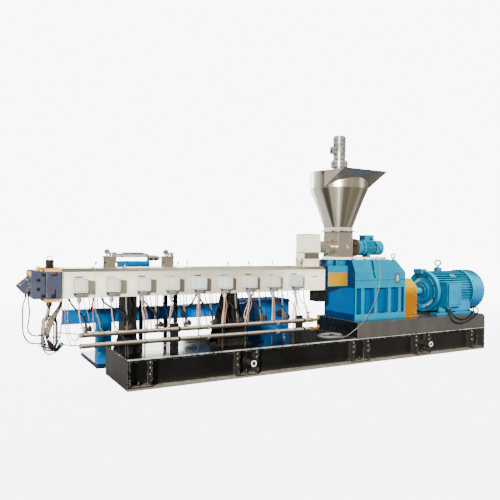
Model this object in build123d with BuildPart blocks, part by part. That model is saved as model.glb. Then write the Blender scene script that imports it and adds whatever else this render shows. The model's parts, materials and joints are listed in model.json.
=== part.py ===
from build123d import *
import os
from math import radians, sqrt, tan

# Co-rotating twin-screw compounding extruder, in millimetres.
# X runs along the machine from the die head to the drive motor, Y from the
# operator's side to the back, Z up. The origin is the centre of the base's
# underside, on the floor, in the middle of a cross beam.

os.makedirs("parts", exist_ok=True)

# Driving dimensions: machine base
base_length = 5920
base_width = 940
base_height = 350
deck_thickness = 12
beam_flange_width = 250
beam_flange_thickness = 20
beam_web = 12
end_plate_thickness = 20
station_centres = (-2820, -1450, 367, 1578, 2820)
station_width = 280
stiffener_thickness = 15
foot_plate_thickness = 20
anchor_hole_radius = 14
cross_beam_width = 200
cross_beam_flange = 15
cross_beam_web = 10
cross_beam_centres = (-2200, 0, 900, 2200)
trunnion_radius = 38
trunnion_bore_radius = 24
trunnion_reach = 130
trunnion_height = 195
trunnion_station_index = (1, 3)

# Driving dimensions: drive plinth
plinth_start = 270
plinth_height = 220
plinth_end_chamfer = 45

# Driving dimensions: barrel and its covers
barrel_axis_height = 1175
zone_pitch = 350
zone_count = 10
covers_clearance = 70
barrel_half_width = 120
barrel_edge_chamfer = 30
barrel_flange_thickness = 30
cover_half_width = 220
cover_rise = 165
cover_drop = 157
cover_edge_slope = 38
cover_wall = 25
cover_gap = 3
seat = 0.3

# Driving dimensions: terminal boxes and plugs on the covers
box_count = 9
box_first_offset = 168
box_size = 152
box_depth = 120
box_lid_depth = 22
box_lid_overhang = 4
box_drop = 90
box_corner = 10
plug_width = 104
plug_height = 62
plug_depth = 52
plug_taper = 12
gland_radius = 17
gland_neck_radius = 12
gland_length = 30
gland_nut_length = 18

# Driving dimensions: leads from the plugs, tied behind the water tubes and led into the deck
lead_radius = 7
lead_lean = (30, -38, -5, -30, -60, -15, -34)
lead_straight = 115
lead_tie_margin = 32
lead_set_back = 14
lead_last_run = 62
lead_detours = (
    (
        (-3432, 10, 785), (-3408, 0, 705), (-3360, 0, 650), (-3280, 0, 622), (-3140, 1, 618),
        (-3010, 0, 624), (-2958, 3, 580), (-2934, 9, 505), (-2926, 14, 425),
    ),
    (
        (-3080, 15, 790), (-3060, 16.5, 715), (-3020, 16, 655), (-2970, 17, 600), (-2925, 17, 535),
        (-2903, 16, 465), (-2898, 18, 410),
    ),
)

# Driving dimensions: pedestals under the barrel
pedestal_plate = 20
pedestal_depth = 300
discharge_pedestal_x = -2830
discharge_column_width = 150
discharge_column_depth = 240
discharge_foot_width = 276
discharge_foot_height = 186
discharge_cap_overhang = 25
middle_pedestal_x = -1495
middle_top_width = 75
middle_bottom_width = 430
middle_cap_width = 120
middle_gusset = 25
middle_foot_margin = 20
rear_bracket_length = 140
rear_bracket_half_width = 100
rear_bracket_drop = 195

# Driving dimensions: die
die_box_length = 162
die_box_corner = 6
die_plate_thickness = 34
die_plate_inset = 12
die_panel_thickness = 6
die_panel_margin = 10
die_gap = 8
die_body_length = 137
die_body_half_width = 200
die_body_chamfer = 45
die_head_width = 340
die_head_thickness = 97
die_head_run = 117
die_head_fall = 99
die_head_drop = 64
die_head_groove = 8
die_head_groove_pitch = 26
die_outlet_radius = 4
die_outlet_pitch = 24
die_outlet_count = 12
die_outlet_depth = 30
sensor_box_size = 76
sensor_box_height = 92
sensor_box_offset = 154
sensor_ring_radius = 25
sensor_ring_wire = 4
ball_radius = 28
ball_offset = 63
die_plug_radius = 31
die_plug_length = 54
die_plug_offset = 117
die_fitting_y = -130
ferrule_radius = 11
ferrule_outer = (-43, 18)
ferrule_inner = (-17, 24)

# Driving dimensions: degassing ports and vacuum unit
vent_zone_index = (1, 3)
vent_offset = 192
vent_length = 102
vent_depth = 147
vent_height = 118
vent_front = -135
vent_flange = 8
vent_flange_height = 12
vent_glass_radius = 34
vent_glass_height = 46
vent_gauge_x = 38
gauge_radius = 28
gauge_stem_radius = 8
gauge_stem_height = 26
gauge_depth = 34
vacuum_leg = 45
vacuum_table_length = 520
vacuum_table_depth = 420
vacuum_table_x = -2250
vacuum_table_front = 530
vacuum_top_length = 740
vacuum_shelf_height = 1000
vacuum_table_height = 1320
vacuum_plate = 20
vacuum_tank_radius = 60
vacuum_tank_length = 448
vacuum_tank_x = -2561
vacuum_saddle_rise = 54
vacuum_saddle_height = 76
vacuum_saddle_half = 65
vacuum_cap_radius = 70
vacuum_cap_thickness = 26
vacuum_neck_radius = 26
vacuum_neck_length = 90
vacuum_neck_collar = 38

# Driving dimensions: cooling water unit behind the base
water_front = 780
water_depth = 450
water_cabinet_x = -860
water_cabinet_length = 830
water_cabinet_height = 800
water_cabinet_corner = 12
water_door_margin = 40
water_door_rise = 4
water_door_bottom = 100
water_beam_start = -3430
water_beam_depth = 100
water_beam_bottom = 594
water_beam_height = 186
water_beam_wall = 8
water_post_x = -2895
water_post_width = 190
water_post_depth = 140
water_foot_length = 960
water_foot_height = 60

# Driving dimensions: cooling water tubes along the front
tube_radius = 26
tube_wall = 3
tube_y = -320
tube_heights = (511, 628)
tube_start = -3445
tube_end = -430
tube_cap_depth = 8
tube_cap_chamfer = 6
tube_post_x = (-2350, -575)
tube_post_width = 95
tube_post_depth = 45
tube_post_top_margin = 64
tube_clamp_width = 18
tube_clamp_wall = 8
nut_radius = 30
nut_length = 40
nipple_radius = 20
elbow_radius = 19
elbow_length = 70
valve_x = -455
valve_body_radius = 17
valve_body_height = 66
valve_stem_radius = 7
valve_handle_height = 104
valve_handle_length = 64

# Driving dimensions: side feed port, feeder and hopper
feed_port_setback = 274
feed_port_length = 258
feed_half_depth = 100
feed_neck_height = 84
feed_flange_height = 20
feed_flange_reach = 8
feed_throat_height = 91
feed_head_overhang = 19
feed_head_margin = 91
feed_knob_radius = 9
feeder_setback = 35
feeder_base_height = 37
feeder_base_reach = 641
feeder_base_margin = 20
feeder_axis_rise = 139
feeder_tube_radius = 86
feeder_box_length = 256
feeder_box_depth = 340
feeder_box_height = 363
sheet = 5
hopper_neck = 48
hopper_lip = 15
hopper_lip_width = 24
hopper_cone_height = 550
hopper_radius = 417
hopper_cylinder_height = 230
hopper_lid_thickness = 10
chute_half_width = 385
chute_reach = 590
chute_drop = 225
bell_radius = 131
bell_length = 176
bell_window_length = 90
bell_window_width = 84
feeder_gear_length = 150
feeder_gear_radius = 120
feeder_body_length = 200
feeder_cowl_length = 156
feeder_motor_radius = 106
feeder_cowl_radius = 112
feeder_terminal_length = 180
feeder_terminal_depth = 120
feeder_terminal_height = 84
feeder_foot_length = 60
feeder_gland_x = 74
feeder_gland_drop = 56
feeder_gland_radius = 11
feeder_gland_length = 24
stirrer_flange_radius = 122
stirrer_flange_height = 172
stirrer_groove_height = 13
stirrer_gear_radius = 86
stirrer_gear_height = 59
stirrer_shield_height = 34
stirrer_body_height = 144
stirrer_cowl_height = 116
stirrer_motor_radius = 91
stirrer_terminal_reach = 48
stirrer_terminal_height = 100
stirrer_terminal_width = 84
small_fin_thickness = 4
small_fin_depth = 14
small_fin_count = 28

# Driving dimensions: reduction gearbox
gearbox_setback = 50
gearbox_length = 970
gearbox_half_width = 350
gearbox_foot_height = 95
gearbox_band_drop = 140
gearbox_band_rise = 85
gearbox_top_rise = 262
gearbox_front_slope = 80
gearbox_end_slope = 120
gearbox_rib_recess = 14
gearbox_pocket_depth = 76
gearbox_pocket_corner = 24
gearbox_rib_width = 60
gearbox_rib_offsets = (156, 402, 666, 873)
gearbox_end_wall = 30
gearbox_foot_bolt_radius = 16
output_length = 360
output_half_width = 190
output_drop = 115
output_rise = 175
output_upper_start = 30
output_upper_inset = 55
output_rib_offset = 140
output_rib_width = 24
gauge_plate_x = 755
gauge_plate_length = 85
gauge_plate_height = 150
gauge_plate_depth = 16
gauge_plate_drop = 15
gauge_plate_corner = 12
gauge_window_length = 34
gauge_window_height = 118
gauge_window_depth = 5

# Driving dimensions: coupling guard and drive motor
guard_half_width = 215
guard_length = 390
shaft_radius = 60
shaft_length = 290
motor_axis_rise = 355
motor_length = 1190
motor_radius = 325
motor_core_radius = 292
motor_fin_thickness = 9
motor_fin_count = 48
bell_end_length = 130
bell_hub_radius = 110
bell_ring_step = 18
bell_ring_width = 52
cowl_length = 330
cowl_radius = 340
cowl_edge_radius = 60
grille_ring_radii = (70, 130, 190, 250)
grille_slot_radius = 9
grille_depth = 10
motor_foot_thickness = 32
motor_foot_half = 365
motor_foot_width = 120
motor_foot_web = 40
motor_foot_overhang = 30
eye_boss_length = 100
eye_boss_width = 80
eye_boss_rise = 55
motor_eye_x = 410
aux_box_length = 125
aux_box_width = 170
aux_box_rise = 32
aux_box_y = 60
terminal_box_offset = 125
terminal_box_length = 300
terminal_box_drop = 225
terminal_box_rise = 165
terminal_box_reach = 470
terminal_lid_depth = 30
terminal_lid_margin = 22
terminal_lid_corner = 26
cable_gland_radius = 19
cable_gland_length = 26
cable_gland_inset = 24
cable_gland_offsets = (22, 66)

# Driving dimensions: lifting eyes
gearbox_eye_x = 814
gearbox_eye_y = -250
gearbox_eye_radius = 30
gearbox_eye_wire = 9
motor_eye_radius = 45
motor_eye_wire = 12
eye_collar_height = 20

# Driving dimensions: free cords
feeder_cable_radius = 5
coil_x = 70
coil_y = -118
coil_outer_radius = 190
coil_width = 70
coil_height = 38
coil_corner = 8
coil_entry = (80, -172)
coil_entry_run = 40
feeder_cable_route = (
    (845, -112, 1747), (846, -140, 1743), (850, -164, 1728), (860, -178, 1702), (880, -184, 1664),
    (915, -184, 1624), (958, -182, 1588), (996, -186, 1552), (1014, -202, 1516), (1004, -224, 1482),
    (968, -240, 1462),
    (905, -248, 1456), (850, -262, 1458), (802, -292, 1438), (782, -328, 1372), (773, -366, 1284),
    (756, -386, 1180), (738, -392, 1075), (708, -398, 970), (655, -408, 870), (590, -422, 786),
    (515, -442, 703), (432, -470, 638), (350, -504, 584), (272, -518, 538), (208, -504, 488),
    (172, -462, 440), (162, -408, 396), (166, -362, 372),
)
motor_cable_radius = 11
cable_first_run = 20
cable_last_run = 30
outer_cable_route = (
    (2116, -458, 633), (2112, -482, 608), (2109, -503, 574), (2116, -514, 534), (2144, -519, 497),
    (2198, -521, 469), (2278, -522, 453), (2375, -521, 452), (2480, -517, 474), (2585, -511, 511),
    (2685, -500, 555), (2772, -478, 598), (2840, -438, 632), (2884, -378, 654), (2904, -308, 662),
    (2907, -250, 651), (2903, -211, 628),
)
outer_cable_entry = (2897, -194)
inner_cable_route = (
    (2163, -458, 633), (2169, -480, 608), (2184, -500, 577), (2214, -512, 548), (2264, -516, 524),
    (2336, -516, 510), (2418, -515, 510), (2502, -510, 528), (2582, -500, 562), (2652, -479, 602),
    (2722, -437, 638), (2792, -382, 657), (2838, -338, 665), (2863, -289, 657), (2868, -248, 637),
)
inner_cable_entry = (2862, -224)
die_lead_radius = 7
lead_first_run = 30
outer_lead_route = (
    (-3972, 1002), (-3988, 946), (-3990, 872), (-3986, 792), (-3988, 712), (-3976, 638), (-3944, 578),
    (-3900, 545),
)
outer_lead_entry = 540
inner_lead_route = (
    (-3936, 1012), (-3928, 950), (-3920, 880), (-3926, 806), (-3938, 738), (-3932, 680), (-3905, 642),
    (-3872, 626),
)
inner_lead_entry = 624
hank_offset = 6
hank_bottom = 440
hank_width = 176
hank_height = 404
hank_rope = 56
hank_depth = 70

# Worked out from the driving dimensions
base_end = base_length / 2
base_side = base_width / 2
beam_height = base_height - deck_thickness
beam_y = base_side - beam_flange_width / 2
web_face = beam_y + beam_web / 2
anchor_inset = (base_side - web_face) / 2
plinth_top = base_height + plinth_height
gearbox_start = plinth_start + gearbox_setback
gearbox_end = gearbox_start + gearbox_length
output_start = gearbox_start - output_length
covers_end = output_start - covers_clearance
covers_start = covers_end - zone_pitch * zone_count
cover_top = barrel_axis_height + cover_rise
cover_bottom = barrel_axis_height - cover_drop
flange_half = cover_rise - cover_wall - seat
flange_bottom = barrel_axis_height - flange_half
joint_x = [covers_start + zone_pitch * n for n in range(zone_count + 1)]
box_x = [covers_start + box_first_offset + zone_pitch * n for n in range(box_count)]
box_bottom = barrel_axis_height - box_drop
gearbox_top = barrel_axis_height + gearbox_top_rise
motor_start = gearbox_end + guard_length + shaft_length
motor_end = motor_start + motor_length
motor_axis_height = plinth_top + motor_axis_rise


def block(x, y, z, mode=Mode.ADD):
    """An upright block between pairs of coordinates."""
    with BuildSketch(Plane.XY.offset(z[0])) as outline:
        with Locations(((x[0] + x[1]) / 2, (y[0] + y[1]) / 2)):
            Rectangle(x[1] - x[0], y[1] - y[0])
    extrude(outline.sketch, amount=z[1] - z[0], mode=mode)


def side_profile(points, y, mode=Mode.ADD):
    """A profile in X and Z, run across the machine between two Y values."""
    with BuildSketch(Plane.XZ.offset(-y[1])) as outline:
        with BuildLine():
            Polyline(*points, close=True)
        make_face()
    extrude(outline.sketch, amount=y[1] - y[0], mode=mode)


def end_profile(points, x, mode=Mode.ADD):
    """A profile in Y and Z, run along the machine between two X values."""
    with BuildSketch(Plane.YZ.offset(x[0])) as outline:
        with BuildLine():
            Polyline(*points, close=True)
        make_face()
    extrude(outline.sketch, amount=x[1] - x[0], mode=mode)


def turned_x(points, y, z, mode=Mode.ADD):
    """A turned piece on an axis along X: points are X and radius."""
    with BuildSketch(Plane.XZ.offset(-y)) as outline:
        with BuildLine():
            Polyline(*[(x, z + radius) for x, radius in points], close=True)
        make_face()
    revolve(outline.sketch, axis=Axis((0, y, z), (1, 0, 0)), mode=mode)


def turned_z(points, x, y, mode=Mode.ADD):
    """A turned piece on an upright axis: points are radius and Z."""
    with BuildSketch(Plane.XZ.offset(-y)) as outline:
        with BuildLine():
            Polyline(*[(x + radius, z) for radius, z in points], close=True)
        make_face()
    revolve(outline.sketch, axis=Axis((x, y, 0), (0, 0, 1)), mode=mode)


def rod_x(x, y, z, radius, mode=Mode.ADD):
    """A round bar along the machine between two X values."""
    turned_x([(x[0], 0), (x[0], radius), (x[1], radius), (x[1], 0)], y, z, mode)


def rod_y(x, z, radius, y, mode=Mode.ADD):
    """A round bar across the machine between two Y values."""
    with BuildSketch(Plane.XZ.offset(-y[1])) as outline:
        with Locations((x, z)):
            Circle(radius)
    extrude(outline.sketch, amount=y[1] - y[0], mode=mode)


def fin_ring(plane, centre, inner, outer, thickness, count, length):
    """Straight cooling fins set round a motor's body."""
    with BuildSketch(plane) as fins:
        with Locations(centre):
            with PolarLocations((inner + outer) / 2, count):
                Rectangle(outer - inner, thickness)
    extrude(fins.sketch, amount=length)


def eye_bolt(x, y, seat_height, radius, wire):
    """A lifting eye on its collar, turned to face the discharge end and the operator."""
    centre = seat_height + eye_collar_height + radius + wire
    turned_z(
        [
            (0, seat_height), (2.5 * wire, seat_height), (2 * wire, seat_height + eye_collar_height / 2),
            (wire, seat_height + eye_collar_height), (wire, centre - radius), (0, centre - radius),
        ],
        x, y,
    )
    with Locations(Plane(origin=(x, y, centre), z_dir=(-1, -1, 0)).location):
        Torus(radius, wire)


def cord_tube(name, points, radius):
    """A cord's tube: straight runs joined by arcs as large as the runs allow."""
    places = [Vector(*point) for point in points]
    runs = [after - before for before, after in zip(places, places[1:])]
    radii = []
    for before, after in zip(runs, runs[1:]):
        half_turn = radians(before.get_angle(after)) / 2
        radii.append(0.45 * min(before.length, after.length) / tan(half_turn))
    with BuildLine() as route:
        FilletPolyline(*points, radius=radii)
    with BuildSketch(Plane(origin=points[0], z_dir=runs[0])) as section:
        Circle(radius)
    sweep(section.sketch, path=route.line)
    print(name, "route", round(sum(edge.length for edge in route.edges())), "mm, tightest bend", round(min(radii)), "mm")


def i_section(centre, bottom, top, width, flange, web):
    """Corner points of an I section, for a profile."""
    half = width / 2
    thin = web / 2
    return [
        (centre - half, bottom), (centre + half, bottom),
        (centre + half, bottom + flange), (centre + thin, bottom + flange),
        (centre + thin, top - flange), (centre + half, top - flange),
        (centre + half, top), (centre - half, top),
        (centre - half, top - flange), (centre - thin, top - flange),
        (centre - thin, bottom + flange), (centre - half, bottom + flange),
    ]


def base_beam(side):
    """One long beam with its stiffeners and foot plates, side -1 or 1."""
    ends = (-base_end + end_plate_thickness, base_end - end_plate_thickness)
    end_profile(
        i_section(side * beam_y, 0, beam_height, beam_flange_width, beam_flange_thickness, beam_web), ends
    )
    outside = sorted((side * web_face, side * base_side))
    inner_top = beam_height - beam_flange_thickness
    for centre in station_centres:
        left = max(centre - station_width / 2, ends[0])
        right = min(centre + station_width / 2, ends[1])
        for plate in ((left, left + stiffener_thickness), (right - stiffener_thickness, right)):
            block(plate, outside, (beam_flange_thickness, inner_top))
        block(
            (left, right), outside,
            (beam_flange_thickness, beam_flange_thickness + foot_plate_thickness),
        )
        with Locations((centre, side * (base_side - anchor_inset), 0)):
            Hole(anchor_hole_radius, depth=beam_flange_thickness + 2 * foot_plate_thickness)


# Machine base
with BuildPart() as front_beam:
    base_beam(-1)
front_beam.part.label = "front_beam"
export_step(front_beam.part, "parts/front_beam.step")

with BuildPart() as back_beam:
    base_beam(1)
back_beam.part.label = "back_beam"
export_step(back_beam.part, "parts/back_beam.step")

inside_web = beam_y - beam_web / 2
inside_flange = base_side - beam_flange_width
with BuildPart() as cross_beams:
    for centre in cross_beam_centres:
        for low, reach in ((0, inside_flange), (beam_flange_thickness, inside_web)):
            side_profile(
                i_section(
                    centre, low, beam_height - low, cross_beam_width, cross_beam_flange, cross_beam_web
                ),
                (-reach, reach),
            )
cross_beams.part.label = "cross_beams"
export_step(cross_beams.part, "parts/cross_beams.step")

with BuildPart() as end_plates:
    for side in (-1, 1):
        block(
            sorted((side * base_end, side * (base_end - end_plate_thickness))),
            (-base_side, base_side), (0, beam_height),
        )
end_plates.part.label = "end_plates"
export_step(end_plates.part, "parts/end_plates.step")

with BuildPart() as deck_plate:
    block((-base_end, base_end), (-base_side, base_side), (beam_height, base_height))
deck_plate.part.label = "deck_plate"
export_step(deck_plate.part, "parts/deck_plate.step")

with BuildPart() as drive_plinth:
    block((plinth_start, base_end), (-base_side, base_side), (base_height, plinth_top))
    chamfer(
        drive_plinth.edges().filter_by(Axis.Y).group_by(Axis.Z)[-1].sort_by(Axis.X)[-1],
        length=plinth_end_chamfer,
    )
drive_plinth.part.label = "drive_plinth"
export_step(drive_plinth.part, "parts/drive_plinth.step")

with BuildPart() as lifting_trunnions:
    for station in trunnion_station_index:
        for side in (-1, 1):
            ends = sorted((side * web_face, side * (base_side + trunnion_reach)))
            rod_y(station_centres[station], trunnion_height, trunnion_radius, ends)
            rod_y(station_centres[station], trunnion_height, trunnion_bore_radius, ends, Mode.SUBTRACT)
lifting_trunnions.part.label = "lifting_trunnions"
export_step(lifting_trunnions.part, "parts/lifting_trunnions.step")

# Pedestals that carry the barrel
with BuildPart() as discharge_pedestal:
    half = discharge_column_width / 2
    foot = discharge_foot_width / 2
    foot_top = base_height + discharge_foot_height
    low = base_height + pedestal_plate
    top = flange_bottom - pedestal_plate
    side_profile(
        [
            (discharge_pedestal_x - foot, base_height), (discharge_pedestal_x + foot, base_height),
            (discharge_pedestal_x + foot, low), (discharge_pedestal_x + half, foot_top),
            (discharge_pedestal_x + half, top), (discharge_pedestal_x - half, top),
            (discharge_pedestal_x - half, foot_top), (discharge_pedestal_x - foot, low),
        ],
        (-discharge_column_depth / 2, discharge_column_depth / 2),
    )
    block(
        (
            discharge_pedestal_x - half - discharge_cap_overhang,
            discharge_pedestal_x + half + discharge_cap_overhang,
        ),
        (-pedestal_depth / 2, pedestal_depth / 2), (top, flange_bottom),
    )
discharge_pedestal.part.label = "discharge_pedestal"
export_step(discharge_pedestal.part, "parts/discharge_pedestal.step")

with BuildPart() as middle_pedestal:
    gusset = [
        (middle_pedestal_x - middle_bottom_width / 2, low),
        (middle_pedestal_x + middle_bottom_width / 2, low),
        (middle_pedestal_x + middle_top_width / 2, top),
        (middle_pedestal_x - middle_top_width / 2, top),
    ]
    side_profile(gusset, (-pedestal_depth / 2, -pedestal_depth / 2 + middle_gusset))
    side_profile(gusset, (pedestal_depth / 2 - middle_gusset, pedestal_depth / 2))
    block(
        (middle_pedestal_x - middle_top_width / 2, middle_pedestal_x + middle_top_width / 2),
        (-pedestal_depth / 2, pedestal_depth / 2), (low, top),
    )
    block(
        (middle_pedestal_x - middle_cap_width / 2, middle_pedestal_x + middle_cap_width / 2),
        (-pedestal_depth / 2, pedestal_depth / 2), (top, flange_bottom),
    )
    foot = middle_bottom_width / 2 + middle_foot_margin
    foot_depth = pedestal_depth / 2 + middle_foot_margin
    block(
        (middle_pedestal_x - foot, middle_pedestal_x + foot), (-foot_depth, foot_depth),
        (base_height, low),
    )
middle_pedestal.part.label = "middle_pedestal"
export_step(middle_pedestal.part, "parts/middle_pedestal.step")

# Barrel: one run of flanged barrel sections, held together by its tie bolts
with BuildPart() as barrel:
    with BuildSketch(Plane.YZ.offset(covers_start)) as section:
        with Locations((0, barrel_axis_height)):
            Rectangle(2 * barrel_half_width, 2 * barrel_half_width)
        chamfer(section.vertices(), length=barrel_edge_chamfer)
    extrude(section.sketch, amount=output_start - covers_start)
    for x in joint_x:
        block(
            (max(x - barrel_flange_thickness, covers_start), min(x + barrel_flange_thickness, output_start)),
            (-flange_half, flange_half),
            (barrel_axis_height - flange_half, barrel_axis_height + flange_half),
        )
barrel.part.label = "barrel"
export_step(barrel.part, "parts/barrel.step")

with BuildPart() as zone_covers:
    for x in joint_x[:-1]:
        with BuildSketch(Plane.YZ.offset(x + cover_gap / 2)) as hood:
            for half, high, slope, mode in (
                (cover_half_width, cover_top, cover_edge_slope, Mode.ADD),
                (
                    cover_half_width - cover_wall, cover_top - cover_wall,
                    cover_edge_slope - cover_wall * (2 - sqrt(2)), Mode.SUBTRACT,
                ),
            ):
                with BuildLine():
                    Polyline(
                        (-half, cover_bottom), (-half, high - slope), (-half + slope, high),
                        (half - slope, high), (half, high - slope), (half, cover_bottom), close=True,
                    )
                make_face(mode=mode)
        extrude(hood.sketch, amount=zone_pitch - cover_gap)
zone_covers.part.label = "zone_covers"
export_step(zone_covers.part, "parts/zone_covers.step")

# Terminal boxes on the covers, each with its plug and lead below
box_middle = box_bottom + box_size / 2
body_size = box_size - 2 * box_lid_overhang
with BuildPart() as terminal_boxes:
    for x in box_x:
        with BuildSketch(Plane.XZ.offset(cover_half_width)) as body:
            with Locations((x, box_middle)):
                RectangleRounded(body_size, body_size, box_corner)
        extrude(body.sketch, amount=box_depth - box_lid_depth)
        with BuildSketch(Plane.XZ.offset(cover_half_width + box_depth - box_lid_depth)) as lid:
            with Locations((x, box_middle)):
                RectangleRounded(box_size, box_size, box_corner)
        extrude(lid.sketch, amount=box_lid_depth)
terminal_boxes.part.label = "terminal_boxes"
export_step(terminal_boxes.part, "parts/terminal_boxes.step")

plug_y = -cover_half_width - (box_depth - box_lid_depth) / 2
plug_top = box_bottom + box_lid_overhang
gland_top = plug_top - plug_height
with BuildPart() as plug_hoods:
    for x in box_x:
        with BuildSketch(Plane.XY.offset(plug_top)) as top_outline:
            with Locations((x, plug_y)):
                RectangleRounded(plug_width, plug_depth, plug_taper)
        with BuildSketch(Plane.XY.offset(gland_top)) as bottom_outline:
            with Locations((x, plug_y)):
                RectangleRounded(plug_width - 2 * plug_taper, plug_depth - plug_taper, plug_taper)
        loft([top_outline.sketch, bottom_outline.sketch])
        turned_z(
            [
                (0, gland_top), (gland_radius, gland_top), (gland_radius, gland_top - gland_nut_length),
                (gland_neck_radius, gland_top - gland_length), (0, gland_top - gland_length),
            ],
            x, plug_y,
        )
plug_hoods.part.label = "plug_hoods"
export_step(plug_hoods.part, "parts/plug_hoods.step")

# Each lead comes down from its gland, is tied behind both water tubes and goes into the deck.
# The first two hang beyond the base's end, so they run behind the upper tube to reach the deck.
lead_top = gland_top - gland_length
lead_y = tube_y + tube_radius + seat + lead_radius
tie_top = tube_heights[1] + tube_radius + lead_tie_margin
tie_bottom = tube_heights[0] - tube_radius - lead_tie_margin / 4
with BuildPart() as zone_leads:
    middle = (lead_top - lead_straight + tie_top) / 2
    ways = [[(x, lead_y + back, z) for x, back, z in detour] for detour in lead_detours]
    for x, lean in zip(box_x[len(lead_detours):], lead_lean):
        ways.append(
            [
                (x + lean * 0.4, plug_y * 0.65 + lead_y * 0.35, middle), (x + lean, lead_y, tie_top),
                (x + lean, lead_y, tie_bottom),
                (x + lean + lead_set_back / 2, lead_y + lead_set_back, base_height + lead_last_run),
            ]
        )
    for x, way in zip(box_x, ways):
        cord_tube(
            "zone lead",
            [
                (x, plug_y, lead_top), (x, plug_y, lead_top - lead_straight), *way,
                (way[-1][0], way[-1][1], base_height),
            ],
            lead_radius,
        )
zone_leads.part.label = "zone_leads"
export_step(zone_leads.part, "parts/zone_leads.step")

# Die: heated adaptor box, body, and the angled strand head
die_box_start = covers_start - die_box_length
die_body_right = die_box_start - die_gap
die_body_left = die_body_right - die_body_length
die_top = cover_top - die_plate_thickness
with BuildPart() as die_adaptor:
    block(
        (die_box_start, covers_start), (-cover_half_width, cover_half_width), (cover_bottom, die_top),
    )
    fillet(die_adaptor.edges().filter_by(Axis.Z), radius=die_box_corner)
    for side in (-1, 1):
        block(
            (die_box_start + die_panel_margin, covers_start - die_panel_margin),
            sorted((side * cover_half_width, side * (cover_half_width + die_panel_thickness))),
            (cover_bottom + die_panel_margin, die_top - die_panel_margin),
        )
    block(
        (die_body_right, die_box_start), (-barrel_half_width, barrel_half_width),
        (barrel_axis_height - barrel_half_width, barrel_axis_height + barrel_half_width),
    )
die_adaptor.part.label = "die_adaptor"
export_step(die_adaptor.part, "parts/die_adaptor.step")

with BuildPart() as die_plates:
    for bottom in (cover_bottom - die_plate_thickness, die_top):
        block(
            (die_box_start - die_plate_inset, covers_start),
            (-cover_half_width + die_plate_inset, cover_half_width - die_plate_inset),
            (bottom, bottom + die_plate_thickness),
        )
die_plates.part.label = "die_plates"
export_step(die_plates.part, "parts/die_plates.step")

# The head leans down from the body's face, with its strand outlets in the low end
head_high = Vector(die_body_left, die_top - die_head_drop)
head_along = Vector(-die_head_run, -die_head_fall)
head_way = head_along.normalized()
head_across = Vector(head_way.Y, -head_way.X) * -die_head_thickness
head_tip = head_high + head_along
head_low = head_tip + head_across
head_root = head_low - head_along * ((head_low.X - die_body_left) / head_along.X)
with BuildPart() as die_body:
    side_profile(
        [
            (die_body_right, die_top), (die_body_right, cover_bottom),
            (die_body_left + die_body_chamfer / 2, cover_bottom),
            (die_body_left, cover_bottom + die_body_chamfer), (die_body_left, head_high.Y),
            (die_body_left, die_top),
        ],
        (-die_body_half_width, die_body_half_width),
    )
die_body.part.label = "die_body"
export_step(die_body.part, "parts/die_body.step")

with BuildPart() as die_head:
    side_profile(
        [(point.X, point.Y) for point in (head_high, head_tip, head_low, head_root)],
        (-die_head_width / 2, die_head_width / 2),
    )
    upper_face = Plane(
        origin=(head_high.X, 0, head_high.Y), x_dir=(0, 1, 0), z_dir=(head_way.Y, 0, -head_way.X)
    )
    if upper_face.z_dir.Z < 0:
        upper_face = Plane(origin=upper_face.origin, x_dir=(0, 1, 0), z_dir=-upper_face.z_dir)
    groove_x = [-die_head_width / 2 + die_head_groove_pitch * (n + 0.5) for n in range(13)]
    with BuildSketch(upper_face) as grooves:
        with Locations(*[(place, 0) for place in groove_x]):
            Rectangle(die_head_groove, 2 * head_along.length - 2 * die_head_groove_pitch)
    extrude(grooves.sketch, amount=-die_head_groove, mode=Mode.SUBTRACT)
    end_face = Plane(
        origin=((head_tip.X + head_low.X) / 2, 0, (head_tip.Y + head_low.Y) / 2),
        x_dir=(0, 1, 0), z_dir=(head_way.X, 0, head_way.Y),
    )
    with Locations(end_face.location):
        with GridLocations(die_outlet_pitch, 1, die_outlet_count, 1):
            Hole(die_outlet_radius, depth=die_outlet_depth)
    for place, length in (ferrule_outer, ferrule_inner):
        ferrule_x = die_body_left + place
        under = head_root.Y + place * head_along.Y / head_along.X
        turned_z(
            [
                (0, under - length), (ferrule_radius, under - length), (ferrule_radius, under + ferrule_radius),
                (0, under + ferrule_radius),
            ],
            ferrule_x, die_fitting_y,
        )
die_head.part.label = "die_head"
export_step(die_head.part, "parts/die_head.step")

sensor_x = covers_start - sensor_box_offset
sensor_y = die_fitting_y - sensor_box_size / 2
with BuildPart() as sensor_box:
    block(
        (sensor_x, sensor_x + sensor_box_size), (sensor_y, sensor_y + sensor_box_size),
        (cover_top, cover_top + sensor_box_height),
    )
    fillet(sensor_box.edges().filter_by(Axis.Z), radius=die_box_corner)
    ring_place = Plane(
        origin=(sensor_x + sensor_box_size / 2, die_fitting_y, cover_top + sensor_box_height + sensor_ring_radius * 0.6),
        z_dir=(-1, -2, 0),
    )
    with Locations(ring_place.location):
        Torus(sensor_ring_radius, sensor_ring_wire)
sensor_box.part.label = "sensor_box"
export_step(sensor_box.part, "parts/sensor_box.step")

with BuildPart() as ball_knob:
    ball_x = die_body_right - ball_offset
    turned_z(
        [(0, die_top), (ball_radius / 3, die_top), (ball_radius / 3, die_top + ball_radius), (0, die_top + ball_radius)],
        ball_x, die_fitting_y,
    )
    with Locations((ball_x, die_fitting_y, die_top + 1.1 * ball_radius)):
        Sphere(ball_radius)
ball_knob.part.label = "ball_knob"
export_step(ball_knob.part, "parts/ball_knob.step")

die_plug_x = covers_start - die_plug_offset
die_plug_top = cover_bottom - die_plate_thickness
with BuildPart() as die_plug:
    turned_z(
        [
            (0, die_plug_top), (die_plug_radius, die_plug_top),
            (die_plug_radius, die_plug_top - die_plug_length * 0.7),
            (die_plug_radius * 0.7, die_plug_top - die_plug_length), (0, die_plug_top - die_plug_length),
        ],
        die_plug_x, die_fitting_y,
    )
die_plug.part.label = "die_plug"
export_step(die_plug.part, "parts/die_plug.step")

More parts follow.
